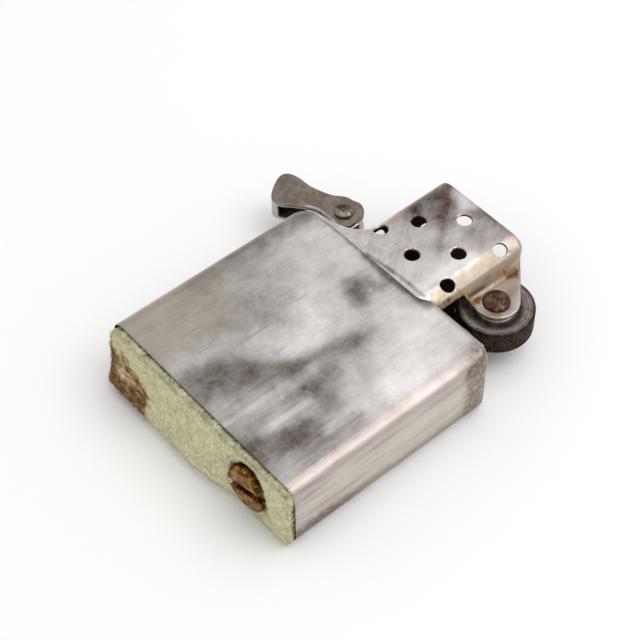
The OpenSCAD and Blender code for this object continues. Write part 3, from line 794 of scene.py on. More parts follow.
# %% [markdown]
# ## Wear on the shell
# The marks are stored on the shell's points as three numbers. Tarnish is what clouds the
# plating, in strokes that run where a thumb and the case have rubbed; one short stroke is painted
# shade, a dark notch in the top edge beside the wheel. Grime sits in the seam and at the corner
# beside the wheel. Brass is the warm tone where the plating is thin.


# %% Paint the shell's wear
def stroke_sum(points, strokes, seed):
    """The sum of strokes (width, weight, x, y, x, y, ...), each with the next seed.

    A stroke is a bell over the distance to its path, with an edge made wavy by noise."""
    total = np.zeros(len(points))
    for k, (width, weight, *path) in enumerate(strokes):
        reach = depth_at(points[:, 0], points[:, 1], np.reshape(path, (-1, 2))) / width
        reach = reach + 0.3 * smooth_noise(points[:, :2], 4.0, seed + k)
        total += weight * bell(np.maximum(reach, 0), 0, 1)
    return total


def soft_ceiling(tone):
    """tone / (1 + tone^4)^(1/4): the darkest marks stay under 1 and keep their inner pattern."""
    return tone / (1 + tone**4) ** 0.25


TARNISH_AND_SHADE_STROKES = [
    (1, 0.5, 4.4, 4.6, 4, 1.5, 3.7, -1.5, 3.2, -3.8, 2.4, -5.6),
    (1.3, 0.5, 2.4, -5.6, 1, -7.2, -1.2, -8.8, -2.8, -10.8, -4, -14),
    (2.3, 0.46, 3.6, -4.6, 2.2, -7.8, -0.6, -10.6, -2.8, -16), (2.2, 0.2, 1.5, -12, 1, -17),
    (1.2, 0.36, 5.4, 6.5, 5, 4.4, 5.6, 1.2, 6.4, -1.8, 7.4, -4.2),
    (1.4, 0.4, 7.2, -3.8, 9.6, -4.8, 11.2, -6.8, 11.5, -9.6),
    (1.5, 0.95, 11.5, -9.2, 10.9, -12.4, 10.4, -16.5), (2, 0.5, 11.2, -11, 10.6, -16.8),
    (1.6, 0.3, 6.6, -0.8, 8.6, -2.6, 11, -4), (1, 0.32, 6.6, -6, 6.3, -17),
    (0.5, 0.24, 3.8, -8, 3.6, -17), (1.6, 0.4, 9, -15, 7.5, -17), (1.3, 0.34, 14, -4, 13.8, -17),
    (2.2, 0.16, 8, 3, 12, 0), (1.7, 0.8, -0.7, 10.3, -0.2, 9.5),
    (0.9, 0.3, -3, 10.4, -2, 12.2, 0.4, 12.6), (2.1, 0.46, -16.9, -17, -16.6, -2, -16.8, 14),
    (1.5, 0.16, -15.6, 6, -15.4, 13), (5, 0.4, -9.5, -4, -13, -13), (1.6, 0.2, -15, 2, -15, -8),
    (2.4, 0.16, -6.2, 2.5, -7.5, -6), (3.5, 0.08, -9.5, 6.5, -13, 3),
    (0.7, 0.9, -4.8, 15.1, 6.5, 15.2), (0.9, 0.4, -0.8, 15.2, 0.6, 13.9),
    (0.35, 0.5, -15.5, 15.3, -6, 15.1), (0.6, 0.3, 4, 3.2, 3.6, 0.5, 3.5, -3.2),
    (0.8, 0.12, 5, 5.2, 5.5, 1.5, 6, -1.5), (1.9, 0.42, -0.6, -9.6, -1.6, -14.5),
    (1.3, 0.45, 10.8, -12, 10.3, -17), (2.8, 0.3, -15, -6, -11, -15),
    (1.2, 0.12, 8.6, -7, 8, -14), (0.9, 0.22, 15.2, -3, 15.2, -17), (3, 0.16, -13, -9, -10, -16),
    # Painted shade: the stroke from x 6.1 to 6.9 on the top edge is a dark notch beside the wheel.
    (0.3, 0.7, -5, 15, -1.5, 14.7, 2.5, 14.8, 5.5, 15.4), (0.4, 0.9, 6.1, 16, 6.9, 16.2),
    (0.8, 0.35, 15, 15.4, 16.6, 13.6, 16.8, 11.5),
]
PALE_STROKES = [
    (2.2, 0.3, -3.2, 3.5, -0.8, 2.5, 0.6, -1.8), (2.2, 0.14, -11, 12.5, -5, 12.5),
    (3.4, 0.24, 8, 13, 11, 9, 12.8, 3), (1.6, 0.14, 12.6, 2.5, 12.4, -1),
    (0.7, 0.16, 4.8, -1.5, 5, -6), (1.1, 0.14, 8.8, -7, 8.5, -12.5),
    (1.2, 0.12, 14.6, 12, 14.9, 2), (0.9, 0.2, 13, -6.5, 12.8, -9),
    (2, 0.12, -8.6, 8.5, -8.2, 5.5),
]
PLAIN_TONE = 0.4


def paint_shell(shell):
    points = points_of(shell)
    x, y, z = points.T
    front = ease((z - mid_z) / 2)
    tone = PLAIN_TONE + stroke_sum(points, TARNISH_AND_SHADE_STROKES, 20)
    tone = soft_ceiling(np.maximum(tone - stroke_sum(points, PALE_STROKES, 60), 0))
    clouds = 0.5 + 0.5 * smooth_noise(points, 9, 5)
    tarnish = tone * front + (0.15 + 0.6 * clouds) * (1 - front) + 0.14 * (clouds - 0.5)
    # Along the narrow sides the wear runs in lines
    side = ease((np.abs(x) - half_w + 0.9) / 0.5)
    lines = bell(z, 9.0, 0.4) + bell(z, 5.0, 0.35) + bell(z, 1.9, 0.6)
    lines = 0.2 + lines * (0.6 + 0.35 * smooth_noise(points * [1, 0.5, 1], 5, 6))
    lines = lines + (0.7 + 0.5 * ease((-4 - y) / 8)) * ease((3.8 - z) / 1.8)
    tarnish = tarnish * (1 - side) + side * lines
    # Grime at the corner by the wheel, the lower corner, the seam, the mouth and the right side
    grime = 1.1 * bell(np.hypot(x - 16.9, y - 14.6), 0, 1.8) * (x > 0)
    grime += 0.9 * bell(x, -17.6, 0.7) * bell(y, open_y, 0.7)
    grime += 0.7 * bell(y, shell_top(x), 0.35) * (x < 5)
    grime += 0.35 * bell(y, open_y, 0.4)
    column = 1.9 * bell(y, 13.8, 1.0) * ease((15.4 - y) / 0.8) + 0.9 * bell(y, 12.6, 1.4)
    low_line = 1.7 * bell(z, 2.1, 1.2) * ease((-5 - y) / 6) + 0.35 * bell(z, 2.6, 1.1)
    grime += (column * (x > 0) + low_line) * side
    brass = bell(x, 16.5, 0.9) * ease((z - 7.5) / 1.5)
    brass = brass * (0.85 + 0.15 * smooth_noise(points, 8, 9)) * (1 - 0.14 * ease((y - 1) / 7))
    return paint(shell, tarnish=0.7 * tarnish, grime=grime, brass=brass)


dress(paint_shell(build_shell()), NICKEL_SHELL, "tank", "tank_shell")

# %% [markdown]
# ## The deck
# The deck closes the tank. It lies behind the windscreen and is seen only from above.
# It is one sheet that follows the shoulder down on the cam's side, with a hole for the wick
# and one for the flint tube.


# %% Build the deck
WICK_HOLE_R = 1.68
TUBE_HOLE_R = 2.14


def deck_surface(s, v):
    """A sheet over the tank: s runs along the top and, left of the shoulder, down its arc."""
    bend = np.clip((-half_w + SHOULDER_R - s) / SHOULDER_R, 0, np.pi / 2)
    x = np.maximum(s, -half_w + SHOULDER_R) - SHOULDER_R * np.sin(bend)
    y = deck_y - 0.2 - (SHOULDER_R - 0.2) * (1 - np.cos(bend))
    return np.stack([x, y + 0 * v, v], -1)


def build_deck():
    s0, s1 = -half_w + SHOULDER_R - SHOULDER_R * 0.85, half_w - CORNER_R - 0.05
    v0, v1 = 0.4, thick - 0.4
    s, v = spread((s0, s0 + 3, 0.3), (s0 + 3, s1, 0.9)), spread((v0, v1, 0.8))
    rim = [(a, v0) for a in s] + [(s1, b) for b in v[1:]] + [(a, v1) for a in s[-2::-1]]
    rim += [(s0, b) for b in v[-2:0:-1]]
    holes = [(SCREEN_MID, mid_z, WICK_HOLE_R), (screw_x, mid_z, TUBE_HOLE_R)]
    return pierced_sheet("deck", rim, holes, lattice(s[1:-1], v[1:-1]), deck_surface, SHEET)


dress(build_deck(), DECK_STEEL, "tank", "top_plate")

# %% [markdown]
# ## The windscreen
# The windscreen is bent from one sheet: an apron that lies on the tank, a chimney that is
# round on the cam's side and open on the wheel's side, and two ears. Its pattern is the flat
# blank. Along it come the ear, a hollow joggle, the open side's bend, the flat front, and
# the closed side's bend and wall. Below the chimney the same columns flare out to the guide
# line, which makes the foot. The air holes are pierced in the blank, so they bend with it.

# %% Pattern of the windscreen
FOOT_EDGE_R = 1.6
ARCH_TOP = deck_y + 6.1
ARCH_ROUND = 1.6
ROOT_R = 0.35
# Steps round the top corner: (inwards along the blank, down)
TOP_CORNER = ((0, 1.2), (0.7, 0.95), (1.2, 0.5), (1.7, 0.15))
EAR_R = 3.0
EAR_SHIFT = 0.4
EAR_OUT = 2.505
JOGGLE_R = 0.7
S_LEFT = SCREEN_LEFT + CLOSED_R
S_RIGHT = SCREEN_RIGHT - OPEN_R
OPEN_Z = SCREEN_FRONT - OPEN_R
joggle_z = mid_z + EAR_OUT + JOGGLE_R
joggle_x = S_RIGHT + math.sqrt((OPEN_R + JOGGLE_R) ** 2 - (joggle_z - OPEN_Z) ** 2)
OPEN_TURN = math.pi / 2 - math.asin((joggle_z - OPEN_Z) / (OPEN_R + JOGGLE_R))
S_BEND = S_RIGHT + OPEN_R * OPEN_TURN
S_EAR = S_BEND + JOGGLE_R * OPEN_TURN
S_WALL = S_LEFT - CLOSED_R * math.pi / 2
S_MID = S_WALL - (SCREEN_FRONT - CLOSED_R - mid_z)
FOOT_TOP = deck_y + FOOT_RISE + FOOT_R


def screen_surface(s, y):
    """The bent sheet's front half at a place (s, y) of the blank; the back is its mirror."""
    s, y = np.broadcast_arrays(np.asarray(s, float), np.asarray(y, float))
    turn = np.clip((s - S_RIGHT) / OPEN_R, 0, OPEN_TURN)
    x = np.minimum(s, S_RIGHT) + OPEN_R * np.sin(turn)
    z = OPEN_Z + OPEN_R * np.cos(turn)
    back = np.clip((s - S_BEND) / JOGGLE_R, 0, OPEN_TURN)
    x = x + JOGGLE_R * (math.sin(OPEN_TURN) - np.sin(OPEN_TURN - back))
    z = z - JOGGLE_R * (np.cos(OPEN_TURN - back) - math.cos(OPEN_TURN))
    x = x + np.maximum(s - S_EAR, 0)
    # The closed side
    wide = left_at(y)
    bend = np.clip((S_LEFT - s) / CLOSED_R, 0, np.pi / 2)
    share = np.sin(bend)
    x = np.where(s < S_LEFT, S_LEFT + (wide - S_LEFT) * share, x)
    low = ease((FOOT_TOP - y) / (FOOT_TOP - deck_y))
    r = CLOSED_R + (FOOT_EDGE_R - CLOSED_R) * low
    z = np.where(s < S_RIGHT, SCREEN_FRONT - edge_drop(depth_at(x, y, GUIDE), r), z)
    # The wall between the bend and the middle leaves the flare and stands straight
    down = np.clip((S_WALL - s) / (S_WALL - S_MID), 0, 1)
    x = x + (SCREEN_LEFT - x) * ease(down * 3) * (down > 0)
    z = z - (z - mid_z) * down
    return np.stack([x, y, z], -1)


def screen_foot(s):
    """The apron's lower edge: a little under the shell's upper edge."""
    return shell_top(np.minimum(s, S_RIGHT) + np.maximum(s - S_RIGHT, 0) * 0.7) - 0.2


def screen_rim(columns):
    """The blank's outline: foot, ear, top edge and the line where the two halves meet."""
    x, y = axle[0] - EAR_SHIFT, axle[1]
    a = np.radians(np.linspace(-90, 45, 22))
    r = EAR_R + 0.42 * ease(np.arange(22) / 21)
    nose = around(x, y, r, a) + [S_EAR - joggle_x, 0]
    root = S_BEND - ROOT_R
    low_root = arc(root, y - EAR_R - ROOT_R, ROOT_R, 180, 90, 6)
    foot = [(s, float(screen_foot(s))) for s in columns if s < root - ROOT_R - 0.01]
    foot.append((root - ROOT_R, float(screen_foot(root))))
    edge = [(foot[-1][0], v) for v in np.arange(foot[-1][1] + 0.5, y - EAR_R - 0.6, 0.5)]
    # The slanted edge runs on over the bend, and its corner with the top edge is round
    up = [(S_EAR, nose[-1].sum() - S_EAR)]
    up += [(S_BEND - s, screen_top - v) for s, v in TOP_CORNER]
    top = [(s, screen_top) for s in columns[::-1] if s < S_BEND - 2.1]
    left = [(columns[0], v) for v in np.arange(screen_top - 0.6, ARCH_TOP + 0.3, -0.6)]
    # Under the arch the closed wall is cut away, so that the leaf can come through
    reach = S_WALL - columns[0]
    left += [(columns[0] + reach * math.sin(c), ARCH_TOP - ARCH_ROUND * (1 - math.cos(c)))
             for c in np.linspace(0, np.pi / 2, 10)]
    left += [(S_WALL, v) for v in np.arange(ARCH_TOP - 2.1, foot[0][1] + 0.2, -0.4)]
    foot = [(s, v) for s, v in foot if s > S_WALL - 0.01]
    return np.array(foot + edge + low_root.tolist() + nose.tolist() + up + top + left)


AIR_R = 1.05
AIR_ROWS = ((3.55, (-6.1, 0, 6.75)), (8.27, (-3.8, 3.8)), (12.99, (-8.9, 0, 6.75)))
AIR_HOLES = [(s + SCREEN_MID, deck_y + up, AIR_R) for up, row in AIR_ROWS for s in row]
# Two of the back's holes are pierced a little to one side of the front's
BACK_SHIFT = (0, 0, 0, 0, 1.7, -0.5, 0, 0)
BACK_HOLES = [(s + shift, y, r) for (s, y, r), shift in zip(AIR_HOLES, BACK_SHIFT)]


def inside_loop(points, loop, gap):
    """Which points lie inside a loop, and further than a gap from it."""
    a, b = loop, np.roll(loop, -1, 0)
    x, y = points[:, 0, None], points[:, 1, None]
    cross = (a[:, 1] > y) != (b[:, 1] > y)
    rise = np.where(b[:, 1] == a[:, 1], 1e-9, b[:, 1] - a[:, 1])
    at = a[:, 0] + (y - a[:, 1]) / rise * (b[:, 0] - a[:, 0])
    odd = np.sum(cross & (x < at), 1) % 2 == 1
    return odd & (depth_at(points[:, 0], points[:, 1], np.concatenate([loop, loop[:1]])) > gap)


def mirrored(obj):
    """A piece moved to the other side of the unit's middle plane."""
    points = points_of(obj) * [1, 1, -1] + [0, 0, thick]
    faces = [list(p.vertices)[::-1] for p in obj.data.polygons]
    back = paint(make_object("back", points, faces), inside=inside_of(obj))
    bpy.data.objects.remove(obj)
    return back


def screen_half(rim, holes, inner):
    """One half, with its last points on the line where it meets the other."""
    half = pierced_sheet("half", rim, holes, inner, screen_surface, SHEET)
    points = points_of(half)
    points[(points[:, 2] < mid_z + 0.16) & (points[:, 0] < 0), 2] = mid_z
    return move_points(half, points)


def build_screen():
    columns = spread((S_MID, S_WALL, 0.5), (S_WALL, S_LEFT, 0.24), (S_LEFT, S_RIGHT, 0.6),
                     (S_RIGHT, S_BEND, 0.3), (S_BEND, S_EAR, 0.15), (S_EAR, S_EAR + 7, 0.5))
    rows = spread((SEAM_Y, FOOT_TOP, 0.25), (FOOT_TOP, screen_top, 0.6))
    rim = screen_rim(columns)
    inner = lattice(columns[1:], rows)
    inner = inner[inside_loop(inner, rim, 0.12)]
    front, back = [screen_half(rim, holes, inner) for holes in (AIR_HOLES, BACK_HOLES)]
    return sharp(join("windscreen", front, mirrored(back)), 50)


# %% [markdown]
# ## Heat, rust and painted light on the windscreen
# Smoke has darkened the cam's side and the ear. Between them the front carries a painted highlight,
# the open bend has turned brassy, and rust sits at the ear's root. Painted shade lies in the
# joggle's hollow at the ear's root and in a dark notch at the apron's corner. The strokes work as
# on the shell.


# %% Paint the windscreen's wear, painted highlight and painted shade
SMOKE_AND_SHADE_STROKES = [
    (1.3, 0.7, -8.4, 33, -7.6, 29, -7.4, 25), (1.4, 0.74, -6.6, 31.8, -5, 29.4, -3.4, 27.6),
    (2.4, 0.2, -7, 31, -4.6, 26.5), (0.9, 0.42, -4.6, 30.2, -2.4, 27.4, -0.6, 24.6, 0.6, 22.6),
    (1.3, 0.42, -6.2, 28, -6.4, 24), (1.1, 0.3, -5.4, 27.4, -3.2, 25.2),
    (1.2, 0.95, -0.4, 33.2, -0.5, 31.2), (1.6, 0.3, 1.4, 32.8, 1.6, 28),
    (0.7, 0.25, 0.6, 29.4, 1.6, 26.6), (1.2, 0.3, 3, 32.8, 3.8, 30, 4.2, 28),
    (1.2, 0.26, 4.6, 32.8, 6.4, 30.4), (1.4, 0.12, -4, 22.5, -2.5, 18.4),
    # Painted shade: the stroke from x 6.2 to 7 at the apron's lower edge is a dark notch.
    (0.22, 0.95, -5, 15.3, -2, 15.75, 1.5, 16, 5.2, 16.1), (0.35, 1, 6.2, 16.4, 7, 16.6),
    (2.6, 0.56, 9.2, 28, 12.4, 23, 9.5, 21), (0.8, 0.3, 10.6, 26.2, 12.6, 24.2, 11.6, 22.2),
    (0.25, 0.7, 7.3, 16.5, 7.3, 31), (0.7, 0.5, 7.4, 16.6, 7.6, 21),
    # Painted shade: the strokes at x 8.1 and x 8.45 on this and the next line are a shadow line in
    # and beside the joggle's hollow at the ear's root.
    (0.6, 0.42, 6.1, 17, 6.1, 30), (0.6, 0.3, 0.6, 32.4, 5, 32.2), (0.35, 0.8, 8.1, 16, 8.1, 31),
    (0.35, 0.3, 7.35, 19, 7.35, 29), (0.35, 0.5, 8.45, 18, 8.45, 29),
]
# Painted highlights: a broad bright band beside the open bend, a thin bright line on the bend, and
# lighter patches near the top and low on the front.
PAINTED_HIGHLIGHT_STROKES = [
    (0.95, 0.95, 3.9, 17.2, 3.9, 25), (0.6, 0.3, 4.4, 24, 4.5, 29),
    (0.14, 0.6, 6.72, 17, 6.72, 30), (0.8, 0.5, -5.4, 32.2, -3, 31.2),
    (1.6, 0.3, 0.4, 17.5, 2.4, 22),
]
BRASS_STROKES = [
    (0.7, 0.3, 6.5, 17, 6.5, 27), (0.4, 0.35, 5.75, 17, 5.75, 28), (1.4, 0.36, 5.6, 28, 6.2, 32),
    (0.14, 0.4, 6.1, 17, 6.1, 28), (0.1, 0.4, 6.42, 17, 6.4, 31), (0.28, 0.8, 7.15, 17, 7.15, 31),
    (0.5, 0.9, 7.6, 16.6, 7.8, 22), (0.25, 0.6, 7.7, 17, 7.7, 31),
    (2.2, 0.3, 9.2, 27, 12, 24, 9.6, 21), (0.8, 0.5, -7.9, 24, -7.5, 22),
    (0.9, 0.35, 8.8, 21.5, 9.2, 29),
]
RUST_STROKES = [
    (0.6, 1.1, 8.3, 28.4, 8.6, 30.2), (0.6, 0.9, 9.4, 20.6, 11.4, 20.9),
    (0.5, 1, 8.3, 17, 8.5, 24), (0.6, 0.7, 7.3, 16.6, 7.6, 20.6),
]


def paint_screen(screen):
    points = points_of(screen)
    marks = {"smoke_and_shade": SMOKE_AND_SHADE_STROKES, "brass": BRASS_STROKES, "rust": RUST_STROKES,
             "painted_highlight": PAINTED_HIGHLIGHT_STROKES}
    marks = {name: soft_ceiling(stroke_sum(points, rows, 80)) for name, rows in marks.items()}
    inside = inside_of(screen) * ease((SCREEN_RIGHT + 0.2 - points[:, 0]) / 1.6)
    return paint(screen, inside=inside, **marks)


dress(paint_screen(build_screen()), SCREEN_STEEL, "tank", "windscreen")

# %% [markdown]
# ## The flint wheel
# The wheel strikes the flint with a double-cut rim, like a fine file. The rim's radius
# is lowered by two sets of slanted grooves that cross, which one formula gives for every
# point, and the faces are turned with a hollow and a step.


# %% Build the wheel
WHEEL_HALF = 1.725
WHEEL_TEETH = 76
# Turned rings on the face: (share of the radius, depth below the rim's edge)
WHEEL_RINGS_CUT = [
    (0.985, 0.1), (0.955, 0.0), (0.9, -0.02), (0.86, 0.0), (0.84, 0.06), (0.82, 0.02),
    (0.8, 0.1), (0.77, 0.06), (0.75, 0.16), (0.72, 0.12), (0.7, 0.22), (0.67, 0.18),
    (0.65, 0.28), (0.62, 0.3), (0.6, 0.4), (0.52, 0.42),
]


def saw(t, steep):
    """A ratchet wave between 0 and 1: a steep rise, then a long slope."""
    t = t % 1
    return np.where(t < steep, t / steep, (1 - t) / (1 - steep))


def turned(name, radius, height, steps, centre, axes=(0, 1, 2), closed=False):
    """A piece turned about Z, or about Y with axes (0, 2, 1), from a profile at each angle."""
    turn = full_turn(steps)[:, None]
    radius, height, turn = np.broadcast_arrays(radius, height, turn)
    points = np.stack([radius * np.cos(turn), radius * np.sin(turn), height], -1)[..., axes]
    return make_object(name, points + centre, grid_faces(*radius.shape, True, closed))


def build_wheel():
    low, high = node_box("flint_wheel")
    radius = (high[0] - low[0]) / 2
    hub_z = high[2] - mid_z
    steps = WHEEL_TEETH * 8
    rim = [(radius, z) for z in np.linspace(-WHEEL_HALF + 0.3, WHEEL_HALF - 0.3, 24)]
    face = [(radius * r, WHEEL_HALF - d) for r, d in WHEEL_RINGS_CUT]
    face += [(2.35, WHEEL_HALF - 0.3), (2.3, hub_z - 0.08), (2.2, hub_z), (1.05, hub_z)]
    whole, z = np.array([(r, -z) for r, z in face[::-1]] + rim + face).T
    t = full_turn(steps)[:, None] / (2 * np.pi) * WHEEL_TEETH
    one, two = saw(t + z * 1.15, 0.3), saw(-t + z * 1.05, 0.4)
    depth = (0.18 * (1 - one) + 0.16 * (1 - two)) * ease((whole - radius * 0.985) / 0.06)
    wheel = turned("flint_wheel_toothed", whole - depth, z, steps, axle, closed=True)
    on_rim = ease(((whole - depth) / radius - 0.86) / 0.08)
    tip = ease((whole / radius - 0.99) / 0.01) * ease(1 - depth / 0.12)
    return face_out(paint(wheel, rim=on_rim.ravel(), tip=tip.ravel()))


dress(build_wheel(), WHEEL_STEEL, "wheel", "flint_wheel")


# %% [markdown]
# ## Rivets
# Both rivets have low crowned heads that were hammered over, so each head is turned from a
# soft profile and then pushed a little out of true.


# %% Build the rivets
def build_rivet(name, node, shaft_r, seed):
    low, high = node_box(node)
    head_r = (high[0] - low[0]) / 2 * 0.94
    top = (high[2] - low[2]) / 2
    seat = top - 0.5
    head = [(head_r - 0.06, seat), (head_r, seat + 0.1), (head_r - 0.05, seat + 0.24),
            (head_r * 0.88, seat + 0.4), (head_r * 0.7, top - 0.03), (head_r * 0.4, top), (0, top)]
    profile = [(r, -z) for r, z in head[::-1]] + [(shaft_r, -seat), (shaft_r, seat)] + head
    rivet = face_out(turned(name, *np.array(profile).T, 64, (low + high) / 2))
    points = points_of(rivet)
    points[:, 2] += 0.03 * smooth_noise(points, 1.6, seed)
    return move_points(rivet, points)


dress(build_rivet("wheel_rivet_head", "wheel_rivet", 1.0, 3), RIVET_STEEL, "tank",
      "wheel_rivet")
dress(build_rivet("cam_rivet_head", "cam_rivet", 0.75, 4), CAM_RIVET, "tank",
      "cam_rivet")

# %% [markdown]
# ## The cam's leaf
# The leaf that holds the cam open or shut comes out of the chimney through its arch, turns up
# and bears on the flat of the cam's heel. It is a strip carried along a bent line.


# %% Build the leaf
LEAF_GAP = 0.06


def build_leaf():
    """A line of (x, y) places, thickened by h to both sides and carried from z0 to z1."""
    (low_x, low_y, z0), (_, _, z1) = node_box("cam_spring")
    h, r, edge = 0.15, 0.75, 0.06
    x = low_x + h + LEAF_GAP
    bend = arc(x + r, low_y + h + r, r, 270, 180, 9)
    tip = [(x, pivot[1] - 0.4), (x + 0.01, pivot[1] + 0.1), (x + 0.06, pivot[1] + 0.3)]
    path = np.concatenate([[(SCREEN_LEFT + 1.4, low_y + h), (x + r + 0.4, low_y + h)], bend, tip])
    way = unit(np.gradient(path, axis=0))
    side = np.stack([-way[:, 1], way[:, 0]], 1)
    loop = [(-h, z0 + edge), (-h + edge, z0), (h - edge, z0), (h, z0 + edge),
            (h, z1 - edge), (h - edge, z1), (-h + edge, z1), (-h, z1 - edge)]
    rows = [np.column_stack([path + side * w, np.full(len(path), z)]) for w, z in loop]
    return face_out(make_object("cam_leaf", np.stack(rows, 1), tube_faces(len(path), len(loop))))


dress(build_leaf(), SPRING_STEEL, "tank", "cam_spring")

# %% [markdown]
# ## The felt pad
# One pad of wool felt closes the tank's mouth. It hugs the flint screw, and its other end
# can be lifted at a crease; here one mesh stands for both the base and the flap. Its face is
# crowned: low at the rim and swelling to the crown within a few millimetres.

# %% Shape of the felt
FELT_W = half_w - 0.1
FELT_H = mid_z - 0.08
FELT_CORNER = 1.3
FELT_RIM_STEPS = 1040
FELT_RIM_Y = open_y - 0.8
FELT_BAG = 1.5
FELT_CROWN = FELT_RIM_Y - node_box("felt_base")[0][1]


def felt_depth(x, z):
    """How far a place lies inside the pad's rounded rectangle, rounder at its upper left."""
    r = np.where((x < 0) & (z > mid_z), 2.6, FELT_CORNER)
    a = np.abs(x) - (FELT_W - r)
    b = np.abs(z - mid_z) - (FELT_H - r)
    outside = np.hypot(np.maximum(a, 0), np.maximum(b, 0))
    return r - outside - np.minimum(np.maximum(a, b), 0)


def felt_surface(x, z):
    """The pad's outer face: crown * (1 - height^2) * (1 - exp(-(end / 0.9)^1.5)), with lumps."""
    x, z = np.broadcast_arrays(np.asarray(x, float), np.asarray(z, float))
    place = np.stack([x, z], -1)
    height = np.clip(np.abs(z - mid_z) / FELT_H, 0, 1)
    end = np.maximum(FELT_W - np.abs(x), 0)
    rise = FELT_CROWN * (1 - height**2) * (1 - np.exp(-((end / 0.9) ** 1.5)))
    rise = rise + 0.1 * smooth_noise(place, 6, 41) + 0.035 * smooth_noise(place, 1.1, 42)
    # Left of the screw its lower half bags out of the mouth
    bulge = FELT_BAG * bell(z, 1.2, 2.2) * ease((9.5 - x) / 9)
    rise = rise + bulge * (1 - np.exp(-((end / 0.6) ** 1.5))) * (1 - height**8)
    # Round the screw's head the felt is drawn in a little
    well = np.hypot(x - screw_x, z - mid_z) - 3.4
    rise = rise - 0.75 * bell(np.maximum(well, 0), 0, 1)
    return np.stack([x, FELT_RIM_Y - rise, z], -1)


def felt_rim():
    """The pad's outline, a rounded rectangle with a frayed edge, found by halving steps."""
    far = around(0, 0, 40, full_turn(FELT_RIM_STEPS))
    low, high = np.zeros(len(far)), np.ones(len(far))
    for _ in range(30):
        mid = (low + high) / 2
        inside = felt_depth(far[:, 0] * mid, mid_z + far[:, 1] * mid) > 0
        low, high = np.where(inside, mid, low), np.where(inside, high, mid)
    rim = far * low[:, None] + [0, mid_z]
    fray = 0.06 * smooth_noise(rim, 1.2, 43) - 0.08
    return rim + unit(rim - [0, mid_z]) * fray[:, None]


FELT_STEP = 0.27
FELT_HOLE_R = 3.42
FELT_THICK = 2.1
FELT_LIP = 0.4
FELT_STAINS = [
    (1.6, 1.2, -17.2, 6.4, -16.4, 4, -15, 2.4, -12.4, 2, -10, 2.6),
    (1.4, 0.9, -17.2, 3, -15, 0.6, -10.6, 0.9), (0.9, 0.4, -17.2, 9, -16.6, 6.8),
    (1.9, 0.62, -15.2, 6, -12.6, 5.8, -10, 4.6), (0.45, 0.5, -14.6, 8.8, -12.8, 6.6),
    (0.4, 0.5, -12.8, 8.2, -11, 6), (0.5, 0.4, -11.2, 7.4, -9.2, 5),
]


def paint_felt(piece, points):
    """Rust from the case at the lower left, and painted shade: a shadow band along the upper
    edge under the shell's lip, and darker bands along the outline and round the screw's head.
    """
    x, _, z = points.T
    flat = points[:, [0, 2]]
    wave = 0.5 + 0.5 * smooth_noise(flat, 3, 44)
    edge = 1 - ease(felt_depth(x, z) / 0.7)
    collar = bell(np.hypot(x - screw_x, z - mid_z), 3.5, 0.35)
    # Painted shade: a shadow band under the shell's lip along the upper edge, a darker band along
    # the outline and a ring round the screw's head.
    shade = 0.75 * ease((z - 9.3) / 1.3) * (0.5 + 0.5 * wave) + 0.35 * edge * wave + 0.3 * collar
    return paint(piece, rust=stroke_sum(flat, FELT_STAINS, 120), shade=shade)


def build_felt():
    inner = np.stack(np.meshgrid(np.arange(-FELT_W + 0.2, FELT_W - 0.15, FELT_STEP),
                                 np.arange(0.25, thick - 0.15, FELT_STEP)), -1)
    inner[::2, :, 0] += FELT_STEP / 2
    inner = inner.reshape(-1, 2)
    inner = inner[felt_depth(inner[:, 0], inner[:, 1]) > 0.3]
    holes = [(screw_x, mid_z, FELT_HOLE_R)]
    pad = pierced_sheet("felt_pad", felt_rim(), holes, inner, felt_surface, FELT_THICK, FELT_LIP)
    points = points_of(pad)
    # Inside the mouth the pad keeps within the shell: a rounded rectangle 0.5 mm smaller
    r = EDGE_R - 0.5
    core = np.array([half_w, mid_z]) - 0.5 - r
    flat = points[:, [0, 2]] - [0, mid_z]
    over = np.abs(flat) - core
    reach = np.hypot(*np.maximum(over, 0).T)
    kept = np.sign(flat) * (over * np.minimum(1, r / np.maximum(reach, 1e-9))[:, None] + core)
    move = (points[:, 1] > open_y - 0.06) & (reach > r)
    points[move, 0] = kept[move, 0]
    points[move, 2] = kept[move, 1] + mid_z
    return paint_felt(move_points(pad, points), points)


# %% [markdown]
# ## Loose fibres
# Felt looks soft because single fibres stand off its face. Each one is a thin three-sided
# strand whose root lies on the pad: root + way * t + bend * t^2, getting thinner with t.


# %% Grow the fibres
FIBRE_R = 0.028
FIBRES = 3400


